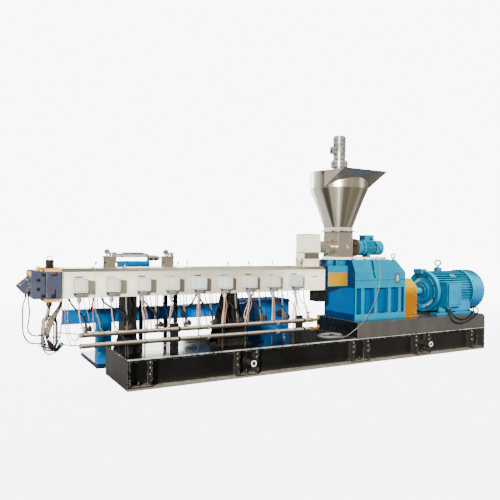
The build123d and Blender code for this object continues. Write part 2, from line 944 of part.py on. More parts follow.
# Degassing ports on the barrel, standing out of the covers' top
vent_x = [joint_x[zone] + vent_offset for zone in vent_zone_index]
vent_top = cover_top + vent_height + vent_flange_height
with BuildPart() as vent_ports:
    for x in vent_x:
        block(
            (x - vent_length / 2, x + vent_length / 2), (vent_front, vent_front + vent_depth),
            (cover_top, cover_top + vent_height),
        )
        block(
            (x - vent_length / 2 - vent_flange, x + vent_length / 2 + vent_flange),
            (vent_front - vent_flange, vent_front + vent_depth + vent_flange),
            (cover_top + vent_height, vent_top),
        )
        glass_x = x + vent_length / 2 - vent_glass_radius / 2
        turned_z(
            [
                (0, vent_top), (vent_glass_radius, vent_top), (vent_glass_radius, vent_top + vent_glass_height / 3),
                (vent_glass_radius * 0.7, vent_top + vent_glass_height / 3),
                (vent_glass_radius * 0.7, vent_top + vent_glass_height * 2 / 3),
                (vent_glass_radius, vent_top + vent_glass_height * 2 / 3),
                (vent_glass_radius, vent_top + vent_glass_height), (0, vent_top + vent_glass_height),
            ],
            glass_x, vent_front + vent_depth / 2,
        )
vent_ports.part.label = "vent_ports"
export_step(vent_ports.part, "parts/vent_ports.step")

with BuildPart() as vent_gauges:
    for x in vent_x:
        gauge_x = x - vent_gauge_x
        dial_z = vent_top + gauge_stem_height + gauge_radius
        turned_z(
            [
                (0, vent_top), (gauge_stem_radius, vent_top), (gauge_stem_radius, dial_z), (0, dial_z),
            ],
            gauge_x, vent_front + gauge_depth,
        )
        rod_y(gauge_x, dial_z, gauge_radius, (vent_front + gauge_depth / 2, vent_front + gauge_depth * 3 / 2))
vent_gauges.part.label = "vent_gauges"
export_step(vent_gauges.part, "parts/vent_gauges.step")

# Vacuum unit on a table behind the barrel, tied to the base and to the water unit's beam
table_x = (vacuum_table_x - vacuum_table_length / 2, vacuum_table_x + vacuum_table_length / 2)
table_y = (vacuum_table_front, vacuum_table_front + vacuum_table_depth)
water_beam_top = water_beam_bottom + water_beam_height
with BuildPart() as vacuum_table:
    block(table_x, table_y, (vacuum_shelf_height - vacuum_plate, vacuum_shelf_height))
    for x in (table_x[0], table_x[1] - vacuum_leg):
        for y in (table_y[0], table_y[1] - vacuum_leg):
            block((x, x + vacuum_leg), (y, y + vacuum_leg), (0, vacuum_table_height - vacuum_plate))
        block(
            (x, x + vacuum_leg), (base_side, table_y[0]),
            (beam_height - beam_flange_thickness, base_height),
        )
        block(
            (x, x + vacuum_leg), (water_front + water_beam_depth, table_y[1]),
            (water_beam_top - vacuum_leg, water_beam_top),
        )
    block(
        (table_x[1] - vacuum_top_length, table_x[1]), table_y,
        (vacuum_table_height - vacuum_plate, vacuum_table_height),
    )
vacuum_table.part.label = "vacuum_table"
export_step(vacuum_table.part, "parts/vacuum_table.step")

tank_y = (table_y[0] + table_y[1]) / 2
tank_z = vacuum_table_height + vacuum_saddle_rise + vacuum_tank_radius
tank_ends = (vacuum_tank_x - vacuum_tank_length / 2, vacuum_tank_x + vacuum_tank_length / 2)
with BuildPart() as vacuum_tank:
    rod_x(tank_ends, tank_y, tank_z, vacuum_tank_radius)
    fillet(vacuum_tank.edges().filter_by(GeomType.CIRCLE).sort_by(Axis.X)[-1], radius=vacuum_tank_radius / 2)
vacuum_tank.part.label = "vacuum_tank"
export_step(vacuum_tank.part, "parts/vacuum_tank.step")

with BuildPart() as tank_caps:
    left = tank_ends[0]
    right = tank_ends[1]
    turned_x(
        [
            (left, 0), (left, vacuum_cap_radius), (left - vacuum_cap_thickness, vacuum_cap_radius),
            (left - vacuum_cap_thickness, vacuum_neck_collar), (left - 2 * vacuum_cap_thickness, vacuum_neck_radius),
            (left - 2 * vacuum_cap_thickness, 0),
        ],
        tank_y, tank_z,
    )
    turned_x(
        [
            (right, 0), (right, vacuum_neck_radius), (right + vacuum_neck_length * 0.3, vacuum_neck_radius),
            (right + vacuum_neck_length * 0.3, vacuum_neck_collar),
            (right + vacuum_neck_length * 0.5, vacuum_neck_collar),
            (right + vacuum_neck_length * 0.5, vacuum_neck_radius),
            (right + vacuum_neck_length, vacuum_neck_radius),
            (right + vacuum_neck_length, vacuum_neck_collar),
            (right + vacuum_neck_length + vacuum_cap_thickness, vacuum_neck_collar),
            (right + vacuum_neck_length + vacuum_cap_thickness, 0),
        ],
        tank_y, tank_z,
    )
tank_caps.part.label = "tank_caps"
export_step(tank_caps.part, "parts/tank_caps.step")

with BuildPart() as tank_saddle:
    block(
        (tank_ends[0] + vacuum_leg, tank_ends[1]),
        (tank_y - vacuum_saddle_half, tank_y + vacuum_saddle_half),
        (vacuum_table_height, vacuum_table_height + vacuum_saddle_height),
    )
    with BuildSketch(Plane.YZ.offset(tank_ends[0])) as bed:
        with Locations((tank_y, tank_z)):
            Circle(vacuum_tank_radius + seat)
    extrude(bed.sketch, amount=vacuum_tank_length, mode=Mode.SUBTRACT)
tank_saddle.part.label = "tank_saddle"
export_step(tank_saddle.part, "parts/tank_saddle.step")

# Cooling water unit: cabinet, beam and post on its foot
with BuildPart() as water_cabinet:
    cabinet_x = (water_cabinet_x, water_cabinet_x + water_cabinet_length)
    block(cabinet_x, (water_front, water_front + water_depth), (0, water_cabinet_height))
    fillet(water_cabinet.edges().filter_by(Axis.Z), radius=water_cabinet_corner)
    for face, way in ((water_front, -1), (water_front + water_depth, 1)):
        block(
            (cabinet_x[0] + water_door_margin, cabinet_x[1] - water_door_margin),
            sorted((face, face + way * water_door_rise)),
            (water_door_bottom, water_cabinet_height - water_door_margin),
        )
water_cabinet.part.label = "water_cabinet"
export_step(water_cabinet.part, "parts/water_cabinet.step")

with BuildPart() as water_beam:
    low = water_beam_bottom
    back = water_front + water_beam_depth
    front = water_front + water_beam_wall
    end_profile(
        [
            (water_front, low), (back, low), (back, low + water_beam_wall), (front, low + water_beam_wall),
            (front, water_beam_top - water_beam_wall), (back, water_beam_top - water_beam_wall),
            (back, water_beam_top), (water_front, water_beam_top),
        ],
        (water_beam_start, water_cabinet_x),
    )
water_beam.part.label = "water_beam"
export_step(water_beam.part, "parts/water_beam.step")

post_x = (water_post_x - water_post_width / 2, water_post_x + water_post_width / 2)
with BuildPart() as water_post:
    block(post_x, (water_front, water_front + water_post_depth), (water_foot_height, water_beam_bottom))
    fillet(water_post.edges().filter_by(Axis.Z), radius=water_cabinet_corner)
water_post.part.label = "water_post"
export_step(water_post.part, "parts/water_post.step")

with BuildPart() as water_foot:
    block(post_x, (water_front, water_front + water_foot_length), (0, water_foot_height))
    chamfer(water_foot.edges().filter_by(Axis.X).group_by(Axis.Z)[-1], length=water_foot_height / 2)
water_foot.part.label = "water_foot"
export_step(water_foot.part, "parts/water_foot.step")

# Cooling water tubes on their posts
bore = tube_radius - tube_wall
with BuildPart() as water_tubes:
    for z in tube_heights:
        turned_x(
            [
                (tube_start, 0), (tube_start, tube_radius - tube_cap_chamfer),
                (tube_start + tube_cap_chamfer, tube_radius), (tube_end, tube_radius), (tube_end, bore),
                (tube_start + tube_cap_depth, bore), (tube_start + tube_cap_depth, 0),
            ],
            tube_y, z,
        )
water_tubes.part.label = "water_tubes"
export_step(water_tubes.part, "parts/water_tubes.step")

with BuildPart() as tube_posts:
    post_front = tube_y + tube_radius + seat
    post_top = tube_heights[-1] + tube_post_top_margin
    for x in tube_post_x:
        right = x + tube_post_width / 2
        block((x - tube_post_width / 2, right), (post_front, post_front + tube_post_depth), (base_height, post_top))
        for z in tube_heights:
            rod_x((right - tube_clamp_width, right), tube_y, z, tube_radius + seat + tube_clamp_wall)
            rod_x((right - tube_clamp_width, right), tube_y, z, tube_radius + seat, Mode.SUBTRACT)
tube_posts.part.label = "tube_posts"
export_step(tube_posts.part, "parts/tube_posts.step")

with BuildPart() as tube_fittings:
    valve_seat = tube_heights[-1]
    valve_top = valve_seat + valve_handle_height
    turned_z(
        [
            (0, valve_seat), (valve_body_radius, valve_seat), (valve_body_radius, valve_seat + valve_body_height),
            (valve_stem_radius, valve_seat + valve_body_height), (valve_stem_radius, valve_top), (0, valve_top),
        ],
        valve_x, tube_y,
    )
    rod_x(
        (valve_x - valve_handle_length / 2, valve_x + valve_handle_length / 2), tube_y, valve_top,
        valve_stem_radius,
    )
    rod_x((valve_x - valve_handle_length, tube_end), tube_y, valve_seat, tube_radius + seat, Mode.SUBTRACT)
    for z in tube_heights:
        turned_x(
            [
                (tube_end - nut_length, 0), (tube_end - nut_length, bore), (tube_end, bore),
                (tube_end, nut_radius), (tube_end + nut_length, nut_radius),
                (tube_end + nut_length, nipple_radius), (tube_end + 2 * nut_length, nipple_radius),
                (tube_end + 2 * nut_length, 0),
            ],
            tube_y, z,
        )
        elbow_start = tube_end + 2 * nut_length
        with BuildLine() as bend:
            FilletPolyline(
                (elbow_start, tube_y, z), (elbow_start + elbow_length / 2, tube_y, z),
                (elbow_start + elbow_length, tube_y, z + elbow_length / 2), radius=elbow_length / 2,
            )
        with BuildSketch(Plane.YZ.offset(elbow_start)) as elbow:
            with Locations((tube_y, z)):
                Circle(elbow_radius)
        sweep(elbow.sketch, path=bend.line)
tube_fittings.part.label = "tube_fittings"
export_step(tube_fittings.part, "parts/tube_fittings.step")

# Feed port on the barrel
feeder_box_bottom = gearbox_top + feeder_base_height
feeder_axis_height = feeder_box_bottom + feeder_axis_rise
feed_x = (covers_end - feed_port_setback, covers_end - feed_port_setback + feed_port_length)
port_flange = cover_top + feed_neck_height
port_throat = port_flange + feed_flange_height
port_head = port_throat + feed_throat_height
port_top = feeder_axis_height + feeder_tube_radius + feed_head_margin
head_right = feed_x[1] + feed_head_overhang
with BuildPart() as feed_port:
    block(feed_x, (-feed_half_depth, feed_half_depth), (cover_top, port_head))
    block(
        (feed_x[0] - feed_flange_reach, feed_x[1] + feed_flange_reach),
        (-feed_half_depth - feed_flange_reach, feed_half_depth + feed_flange_reach),
        (port_flange, port_throat),
    )
    block((feed_x[0], head_right), (-feed_half_depth, feed_half_depth), (port_head, port_top))
    turned_z(
        [
            (0, port_top), (feed_knob_radius, port_top), (feed_knob_radius / 2, port_top + feed_knob_radius),
            (feed_knob_radius, port_top + 2 * feed_knob_radius), (0, port_top + 3 * feed_knob_radius),
        ],
        (feed_x[0] + head_right) / 2, -feed_half_depth / 2,
    )
feed_port.part.label = "feed_port"
export_step(feed_port.part, "parts/feed_port.step")

# Feeder trough between its screw tube and its drive
feeder_centre_x = gearbox_start - feeder_setback
feeder_x = (feeder_centre_x - feeder_box_length / 2, feeder_centre_x + feeder_box_length / 2)
feeder_y = (-feeder_box_depth / 2, feeder_box_depth / 2)
feeder_top = feeder_box_bottom + feeder_box_height
with BuildPart() as feeder_tube:
    rod_x((head_right, feeder_x[0]), 0, feeder_axis_height, feeder_tube_radius)
feeder_tube.part.label = "feeder_tube"
export_step(feeder_tube.part, "parts/feeder_tube.step")

with BuildPart() as feeder_box:
    block(feeder_x, feeder_y, (feeder_box_bottom, feeder_top))
    block(
        (feeder_x[0] + sheet, feeder_x[1] - sheet), (feeder_y[0] + sheet, feeder_y[1] - sheet),
        (feeder_axis_height, feeder_top), Mode.SUBTRACT,
    )
feeder_box.part.label = "feeder_box"
export_step(feeder_box.part, "parts/feeder_box.step")

with BuildPart() as feeder_base:
    block(
        (feeder_x[0] - feeder_base_margin, feeder_x[1] + feeder_base_reach),
        (feeder_y[0] - feeder_base_margin / 2, feeder_y[1] + feeder_base_margin / 2),
        (gearbox_top, feeder_box_bottom),
    )
feeder_base.part.label = "feeder_base"
export_step(feeder_base.part, "parts/feeder_base.step")

# Hopper: round-to-square cone under a cylinder, with the loading chute in front
neck_top = feeder_top + hopper_lip + hopper_neck
cone_top = neck_top + hopper_cone_height
hopper_top = cone_top + hopper_cylinder_height
chute_corner_y = sqrt(hopper_radius ** 2 - chute_half_width ** 2)
chute_slope = chute_drop / (chute_reach - chute_corner_y)


def hopper_form(inset):
    """The hopper's outer form, or its inside when the inset is the sheet's thickness."""
    with BuildSketch(Plane.XY.offset(neck_top)) as square:
        with Locations((feeder_centre_x, 0)):
            Rectangle(feeder_box_length - 2 * inset, feeder_box_depth - 2 * inset)
    with BuildSketch(Plane.XY.offset(cone_top)) as circle:
        with Locations((feeder_centre_x, 0)):
            Circle(hopper_radius - inset)
    mode = Mode.SUBTRACT if inset else Mode.ADD
    loft([square.sketch, circle.sketch], mode=mode)
    extrude(circle.sketch, amount=hopper_cylinder_height, mode=mode)
    extrude(square.sketch, amount=-(neck_top - feeder_top), mode=mode)


def chute_form(inset):
    """The chute's outer form, or its inside when the inset is the sheet's thickness."""
    rise = inset * sqrt(1 + chute_slope ** 2)
    lip_y = -chute_reach + rise / chute_slope
    end_profile(
        [(lip_y, hopper_top), (0, hopper_top), (0, hopper_top - chute_slope * chute_reach + rise)],
        (feeder_centre_x - chute_half_width + inset, feeder_centre_x + chute_half_width - inset),
        Mode.SUBTRACT if inset else Mode.ADD,
    )


with BuildPart() as hopper_shell:
    hopper_form(0)
    block(
        (feeder_x[0] - hopper_lip_width, feeder_x[1] + hopper_lip_width),
        (feeder_y[0] - hopper_lip_width, feeder_y[1] + hopper_lip_width),
        (feeder_top, feeder_top + hopper_lip),
    )
    hopper_form(sheet)
    chute_form(sheet)
hopper_shell.part.label = "hopper_shell"
export_step(hopper_shell.part, "parts/hopper_shell.step")

with BuildPart() as loading_chute:
    chute_form(0)
    chute_form(sheet)
    with BuildSketch(Plane.XY.offset(neck_top)) as hopper_cut:
        with Locations((feeder_centre_x, 0)):
            Circle(hopper_radius)
    extrude(hopper_cut.sketch, amount=hopper_top - neck_top, mode=Mode.SUBTRACT)
loading_chute.part.label = "loading_chute"
export_step(loading_chute.part, "parts/loading_chute.step")

lid_top = hopper_top + hopper_lid_thickness
with BuildPart() as hopper_lid:
    with BuildSketch(Plane.XY.offset(hopper_top)) as lid_outline:
        with Locations((feeder_centre_x, 0)):
            Circle(hopper_radius)
    extrude(lid_outline.sketch, amount=hopper_lid_thickness)
hopper_lid.part.label = "hopper_lid"
export_step(hopper_lid.part, "parts/hopper_lid.step")

# Stirrer drive on the lid: flanged gear unit, finned body, cowl and terminal box
gear_bottom = lid_top + stirrer_flange_height + stirrer_groove_height
shield_bottom = gear_bottom + stirrer_gear_height
body_bottom = shield_bottom + stirrer_shield_height
cowl_bottom = body_bottom + stirrer_body_height
stirrer_top = cowl_bottom + stirrer_cowl_height
with BuildPart() as stirrer_motor:
    core = stirrer_motor_radius - small_fin_depth
    turned_z(
        [
            (0, lid_top), (stirrer_flange_radius, lid_top),
            (stirrer_flange_radius, lid_top + stirrer_flange_height / 6),
            (stirrer_gear_radius, lid_top + stirrer_flange_height / 6),
            (stirrer_gear_radius, lid_top + stirrer_flange_height / 2),
            (stirrer_flange_radius, lid_top + stirrer_flange_height / 2),
            (stirrer_flange_radius, lid_top + stirrer_flange_height),
            (core, lid_top + stirrer_flange_height), (core, gear_bottom), (stirrer_gear_radius, gear_bottom),
            (stirrer_gear_radius, shield_bottom), (stirrer_motor_radius, shield_bottom),
            (stirrer_motor_radius, body_bottom), (core, body_bottom), (core, cowl_bottom),
            (stirrer_motor_radius, cowl_bottom), (stirrer_motor_radius, stirrer_top - small_fin_depth),
            (stirrer_motor_radius - small_fin_depth, stirrer_top), (0, stirrer_top),
        ],
        feeder_centre_x, 0,
    )
    fin_ring(
        Plane.XY.offset(body_bottom), (feeder_centre_x, 0), core - small_fin_thickness,
        stirrer_motor_radius, small_fin_thickness, small_fin_count, stirrer_body_height,
    )
    box_left = feeder_centre_x - stirrer_motor_radius - stirrer_terminal_reach
    block(
        (box_left, feeder_centre_x - core + small_fin_thickness),
        (-stirrer_terminal_width / 2, stirrer_terminal_width / 2),
        (body_bottom, body_bottom + stirrer_terminal_height),
    )
stirrer_motor.part.label = "stirrer_motor"
export_step(stirrer_motor.part, "parts/stirrer_motor.step")

# Feeder drive: cast bell with its side windows, then the geared motor
bell_end = feeder_x[1] + bell_length
with BuildPart() as feeder_bell:
    rod_x((feeder_x[1], bell_end), 0, feeder_axis_height, bell_radius)
    for side in (-1, 1):
        block(
            (bell_end - bell_length / 2 - bell_window_length / 2, bell_end - bell_length / 2 + bell_window_length / 2),
            sorted((side * shaft_radius, side * (bell_radius + seat))),
            (feeder_axis_height - bell_window_width / 2, feeder_axis_height + bell_window_width / 2),
            Mode.SUBTRACT,
        )
feeder_bell.part.label = "feeder_bell"
export_step(feeder_bell.part, "parts/feeder_bell.step")

gear_end = bell_end + feeder_gear_length
body_end = gear_end + feeder_body_length
feeder_motor_end = body_end + feeder_cowl_length
feeder_terminal_top = feeder_axis_height + feeder_motor_radius + feeder_terminal_height
feeder_terminal_x = (bell_end + feeder_gear_length, bell_end + feeder_gear_length + feeder_terminal_length)
with BuildPart() as feeder_motor:
    core = feeder_motor_radius - small_fin_depth
    turned_x(
        [
            (bell_end, 0), (bell_end, bell_radius - sheet), (bell_end + feeder_gear_length / 4, bell_radius - sheet),
            (bell_end + feeder_gear_length / 3, feeder_gear_radius - small_fin_depth),
            (bell_end + feeder_gear_length * 3 / 4, feeder_gear_radius - small_fin_depth),
            (bell_end + feeder_gear_length * 3 / 4, feeder_gear_radius), (gear_end, feeder_gear_radius),
            (gear_end, core), (body_end, core), (body_end, feeder_cowl_radius),
            (feeder_motor_end - small_fin_depth, feeder_cowl_radius),
            (feeder_motor_end, feeder_cowl_radius - small_fin_depth), (feeder_motor_end, 0),
        ],
        0, feeder_axis_height,
    )
    fin_ring(
        Plane.YZ.offset(gear_end), (0, feeder_axis_height), core - small_fin_thickness,
        feeder_motor_radius, small_fin_thickness, small_fin_count, feeder_body_length,
    )
    block(
        feeder_terminal_x, (-feeder_terminal_depth / 2, feeder_terminal_depth / 2),
        (feeder_axis_height + core / 2, feeder_terminal_top - sheet * 3),
    )
    block(
        (feeder_terminal_x[0] - sheet, feeder_terminal_x[1] + sheet),
        (-feeder_terminal_depth / 2 - sheet, feeder_terminal_depth / 2 + sheet),
        (feeder_terminal_top - sheet * 3, feeder_terminal_top),
    )
    block(
        (gear_end + feeder_foot_length, gear_end + 2 * feeder_foot_length),
        (-feeder_terminal_depth / 2, feeder_terminal_depth / 2), (feeder_box_bottom, feeder_axis_height),
    )
    rod_y(
        feeder_terminal_x[1] - feeder_gland_x, feeder_terminal_top - feeder_gland_drop, feeder_gland_radius,
        (-feeder_terminal_depth / 2 - feeder_gland_length, 0),
    )
feeder_motor.part.label = "feeder_motor"
export_step(feeder_motor.part, "parts/feeder_motor.step")

# Gearbox: cast casing whose pockets leave upright ribs under the bearing band
band_bottom = barrel_axis_height - gearbox_band_drop
band_top = barrel_axis_height + gearbox_band_rise
foot_top = plinth_top + gearbox_foot_height
rib_edges = [gearbox_start + gearbox_end_wall]
for offset in gearbox_rib_offsets:
    rib_edges.append(gearbox_start + offset - gearbox_rib_width / 2)
    rib_edges.append(gearbox_start + offset + gearbox_rib_width / 2)
rib_edges.append(gearbox_end - gearbox_end_wall)
with BuildPart() as gearbox_casing:
    half = gearbox_half_width
    waist = half - gearbox_rib_recess
    end_profile(
        [
            (-half, plinth_top), (half, plinth_top), (half, foot_top), (waist, foot_top),
            (waist, band_bottom), (half, band_bottom), (half, band_top),
            (half - gearbox_front_slope, gearbox_top), (-half + gearbox_front_slope, gearbox_top),
            (-half, band_top), (-half, band_bottom), (-waist, band_bottom), (-waist, foot_top),
            (-half, foot_top),
        ],
        (gearbox_start, gearbox_end),
    )
    for wall in (gearbox_start, gearbox_end - gearbox_end_wall):
        block((wall, wall + gearbox_end_wall), (-half, half), (foot_top, band_bottom))
    side_profile(
        [
            (gearbox_end + 1, band_top), (gearbox_end + 1, gearbox_top + 1),
            (gearbox_end - gearbox_end_slope, gearbox_top + 1), (gearbox_end, band_top),
        ],
        (-half - 1, half + 1), Mode.SUBTRACT,
    )
    for side in (-1, 1):
        with BuildSketch(Plane.XZ.offset(side * waist)) as pockets:
            for left, right in zip(rib_edges[::2], rib_edges[1::2]):
                with Locations(((left + right) / 2, (foot_top + band_bottom) / 2)):
                    RectangleRounded(
                        right - left, band_bottom - foot_top, min(gearbox_pocket_corner, (right - left) / 3)
                    )
        extrude(pockets.sketch, amount=-side * gearbox_pocket_depth, mode=Mode.SUBTRACT)
        with Locations(*[
            ((left + right) / 2, side * (half - gearbox_rib_recess - gearbox_pocket_depth / 2), foot_top)
            for left, right in zip(rib_edges[::2], rib_edges[1::2])
        ]):
            Hole(gearbox_foot_bolt_radius, depth=gearbox_foot_height / 3)
gearbox_casing.part.label = "gearbox_casing"
export_step(gearbox_casing.part, "parts/gearbox_casing.step")

with BuildPart() as output_housing:
    output_bottom = barrel_axis_height - output_drop
    output_top = barrel_axis_height + output_rise
    block(
        (output_start, gearbox_start), (-output_half_width, output_half_width), (output_bottom, output_top),
    )
    upper = output_half_width - output_upper_inset
    block((output_start + output_upper_start, gearbox_start), (-upper, upper), (output_top, gearbox_top))
    for side in (-1, 1):
        block(
            (output_start + output_rib_offset, output_start + output_rib_offset + output_rib_width),
            sorted((side * upper, side * output_half_width)), (output_top, gearbox_top),
        )
output_housing.part.label = "output_housing"
export_step(output_housing.part, "parts/output_housing.step")

with BuildPart() as rear_bracket:
    bracket_start = covers_end - barrel_flange_thickness
    block(
        (bracket_start, bracket_start + rear_bracket_length),
        (-rear_bracket_half_width, rear_bracket_half_width),
        (flange_bottom - rear_bracket_drop, flange_bottom),
    )
rear_bracket.part.label = "rear_bracket"
export_step(rear_bracket.part, "parts/rear_bracket.step")

with BuildPart() as sight_gauge:
    gauge_x = gearbox_start + gauge_plate_x + gauge_plate_length / 2
    gauge_z = band_top - gauge_plate_drop - gauge_plate_height / 2
    with BuildSketch(Plane.XZ.offset(gearbox_half_width)) as frame_outline:
        with Locations((gauge_x, gauge_z)):
            RectangleRounded(gauge_plate_length, gauge_plate_height, gauge_plate_corner)
    extrude(frame_outline.sketch, amount=gauge_plate_depth)
    with BuildSketch(Plane.XZ.offset(gearbox_half_width + gauge_plate_depth)) as window:
        with Locations((gauge_x, gauge_z)):
            SlotOverall(gauge_window_height, gauge_window_length, rotation=90)
    extrude(window.sketch, amount=-gauge_window_depth, mode=Mode.SUBTRACT)
sight_gauge.part.label = "sight_gauge"
export_step(sight_gauge.part, "parts/sight_gauge.step")

with BuildPart() as coupling_guard:
    half = guard_half_width
    bend = half * tan(radians(22.5))
    end_profile(
        [
            (-half, plinth_top), (half, plinth_top), (half, motor_axis_height + bend),
            (bend, motor_axis_height + half), (-bend, motor_axis_height + half),
            (-half, motor_axis_height + bend),
        ],
        (gearbox_end, gearbox_end + guard_length),
    )
coupling_guard.part.label = "coupling_guard"
export_step(coupling_guard.part, "parts/coupling_guard.step")

# Drive motor: finned frame on its feet, end bell with the shaft, fan cowl, terminal box
frame_start = motor_start + bell_end_length
frame_end = motor_end - cowl_length
foot_x = (motor_start - sheet, frame_end + motor_foot_overhang)
eye_x = motor_start + motor_eye_x
eye_boss_top = motor_axis_height + motor_radius + eye_boss_rise
with BuildPart() as motor_frame:
    rod_x((frame_start, frame_end), 0, motor_axis_height, motor_core_radius)
    fin_ring(
        Plane.YZ.offset(frame_start), (0, motor_axis_height), motor_core_radius - motor_fin_thickness,
        motor_radius, motor_fin_thickness, motor_fin_count, frame_end - frame_start,
    )
    block(
        (eye_x - eye_boss_length / 2, eye_x + eye_boss_length / 2),
        (-eye_boss_width / 2, eye_boss_width / 2), (motor_axis_height, eye_boss_top),
    )
    for side in (-1, 1):
        foot_inner = side * (motor_foot_half - motor_foot_width)
        block(
            foot_x, sorted((foot_inner, side * motor_foot_half)),
            (plinth_top, plinth_top + motor_foot_thickness),
        )
        block(
            (frame_start, frame_end), sorted((foot_inner, foot_inner + side * motor_foot_web)),
            (plinth_top, motor_axis_height),
        )
motor_frame.part.label = "motor_frame"
export_step(motor_frame.part, "parts/motor_frame.step")

with BuildPart() as motor_end_bell:
    ring_edge = motor_start + 3 * bell_ring_step
    turned_x(
        [
            (gearbox_end + guard_length, 0), (gearbox_end + guard_length, shaft_radius),
            (motor_start, shaft_radius), (motor_start, bell_hub_radius),
            (motor_start + bell_ring_step, bell_hub_radius),
            (motor_start + bell_ring_step, bell_hub_radius + bell_ring_width),
            (motor_start + 2 * bell_ring_step, bell_hub_radius + bell_ring_width),
            (motor_start + 3 * bell_ring_step, bell_hub_radius + 2 * bell_ring_width),
            (motor_start + 2 * bell_ring_step, bell_hub_radius + 3 * bell_ring_width),
            (ring_edge, bell_hub_radius + 3 * bell_ring_width), (ring_edge, motor_radius),
            (frame_start, motor_radius), (frame_start, 0),
        ],
        0, motor_axis_height,
    )
    block(
        (frame_start - aux_box_length, frame_start), (aux_box_y - aux_box_width / 2, aux_box_y + aux_box_width / 2),
        (motor_axis_height + motor_core_radius - motor_fin_thickness, motor_axis_height + motor_radius + aux_box_rise),
    )
motor_end_bell.part.label = "motor_end_bell"
export_step(motor_end_bell.part, "parts/motor_end_bell.step")

with BuildPart() as motor_cowl:
    rod_x((frame_end, motor_end), 0, motor_axis_height, cowl_radius)
    fillet(motor_cowl.edges().filter_by(GeomType.CIRCLE).sort_by(Axis.X)[-1], radius=cowl_edge_radius)
    with Locations(Plane(origin=(motor_end, 0, motor_axis_height), x_dir=(0, 1, 0), z_dir=(1, 0, 0)).location):
        for ring in grille_ring_radii:
            with PolarLocations(ring, round(ring / grille_slot_radius / 1.3)):
                Hole(grille_slot_radius, depth=grille_depth)
motor_cowl.part.label = "motor_cowl"
export_step(motor_cowl.part, "parts/motor_cowl.step")

terminal_x = (motor_start + terminal_box_offset, motor_start + terminal_box_offset + terminal_box_length)
terminal_z = (motor_axis_height - terminal_box_drop, motor_axis_height + terminal_box_rise)
gland_y = -terminal_box_reach + cable_gland_inset
with BuildPart() as motor_terminal_box:
    web_front = -motor_foot_half + motor_foot_width - motor_foot_web - seat
    block(terminal_x, (-terminal_box_reach + terminal_lid_depth, web_front), terminal_z)
    with BuildSketch(Plane.XZ.offset(terminal_box_reach - terminal_lid_depth)) as lid_face:
        with Locations(((terminal_x[0] + terminal_x[1]) / 2, (terminal_z[0] + terminal_z[1]) / 2)):
            RectangleRounded(
                terminal_box_length - terminal_lid_margin,
                terminal_z[1] - terminal_z[0] - terminal_lid_margin, terminal_lid_corner,
            )
    extrude(lid_face.sketch, amount=terminal_lid_depth)
    with BuildSketch(Plane.YZ.offset(terminal_x[0])) as bed:
        with Locations((0, motor_axis_height)):
            Circle(motor_radius + seat)
    extrude(bed.sketch, amount=terminal_box_length, mode=Mode.SUBTRACT)
    for offset in cable_gland_offsets:
        turned_z(
            [
                (0, terminal_z[0]), (cable_gland_radius, terminal_z[0]),
                (cable_gland_radius, terminal_z[0] - cable_gland_length / 2),
                (motor_cable_radius + seat, terminal_z[0] - cable_gland_length),
                (0, terminal_z[0] - cable_gland_length),
            ],
            terminal_x[0] + offset, gland_y,
        )
motor_terminal_box.part.label = "motor_terminal_box"
export_step(motor_terminal_box.part, "parts/motor_terminal_box.step")

with BuildPart() as lifting_eyes:
    eye_bolt(gearbox_start + gearbox_eye_x, gearbox_eye_y, gearbox_top, gearbox_eye_radius, gearbox_eye_wire)
    eye_bolt(eye_x, 0, eye_boss_top, motor_eye_radius, motor_eye_wire)
lifting_eyes.part.label = "lifting_eyes"
export_step(lifting_eyes.part, "parts/lifting_eyes.step")

# Free cords. The feeder motor's cable hangs over the gearbox and ends in a coil on the deck
coil_axis = base_height + coil_height / 2
coil_way = Vector(*coil_entry).normalized()
coil_rim = [
    (coil_x + coil_way.X * reach, coil_y + coil_way.Y * reach, coil_axis)
    for reach in (coil_outer_radius + coil_entry_run, coil_outer_radius + seat)
]
feeder_gland = (
    feeder_terminal_x[1] - feeder_gland_x, -feeder_terminal_depth / 2 - feeder_gland_length,
    feeder_terminal_top - feeder_gland_drop,
)
with BuildPart() as feeder_cable:
    cord_tube("feeder cable", [feeder_gland, *feeder_cable_route, *coil_rim], feeder_cable_radius)
feeder_cable.part.label = "feeder_cable"
export_step(feeder_cable.part, "parts/feeder_cable.step")

with BuildPart() as feeder_cable_coil:
    with BuildSketch(Plane.XZ.offset(-coil_y)) as coil_section:
        with Locations((coil_x + coil_outer_radius - coil_width / 2, coil_axis)):
            RectangleRounded(coil_width, coil_height, coil_corner)
    revolve(coil_section.sketch, axis=Axis((coil_x, coil_y, 0), (0, 0, 1)))
feeder_cable_coil.part.label = "feeder_cable_coil"
export_step(feeder_cable_coil.part, "parts/feeder_cable_coil.step")

# The motor's two supply cables droop from the terminal box and go into the plinth under the cowl
gland_end = terminal_z[0] - cable_gland_length
with BuildPart() as motor_cable:
    for name, offset, route, entry in (
        ("outer motor cable", cable_gland_offsets[0], outer_cable_route, outer_cable_entry),
        ("inner motor cable", cable_gland_offsets[1], inner_cable_route, inner_cable_entry),
    ):
        gland_x = terminal_x[0] + offset
        cord_tube(
            name,
            [
                (gland_x, gland_y, gland_end), (gland_x, gland_y, gland_end - cable_first_run), *route,
                (*entry, plinth_top + cable_last_run), (*entry, plinth_top),
            ],
            motor_cable_radius,
        )
motor_cable.part.label = "motor_cable"
export_step(motor_cable.part, "parts/motor_cable.step")

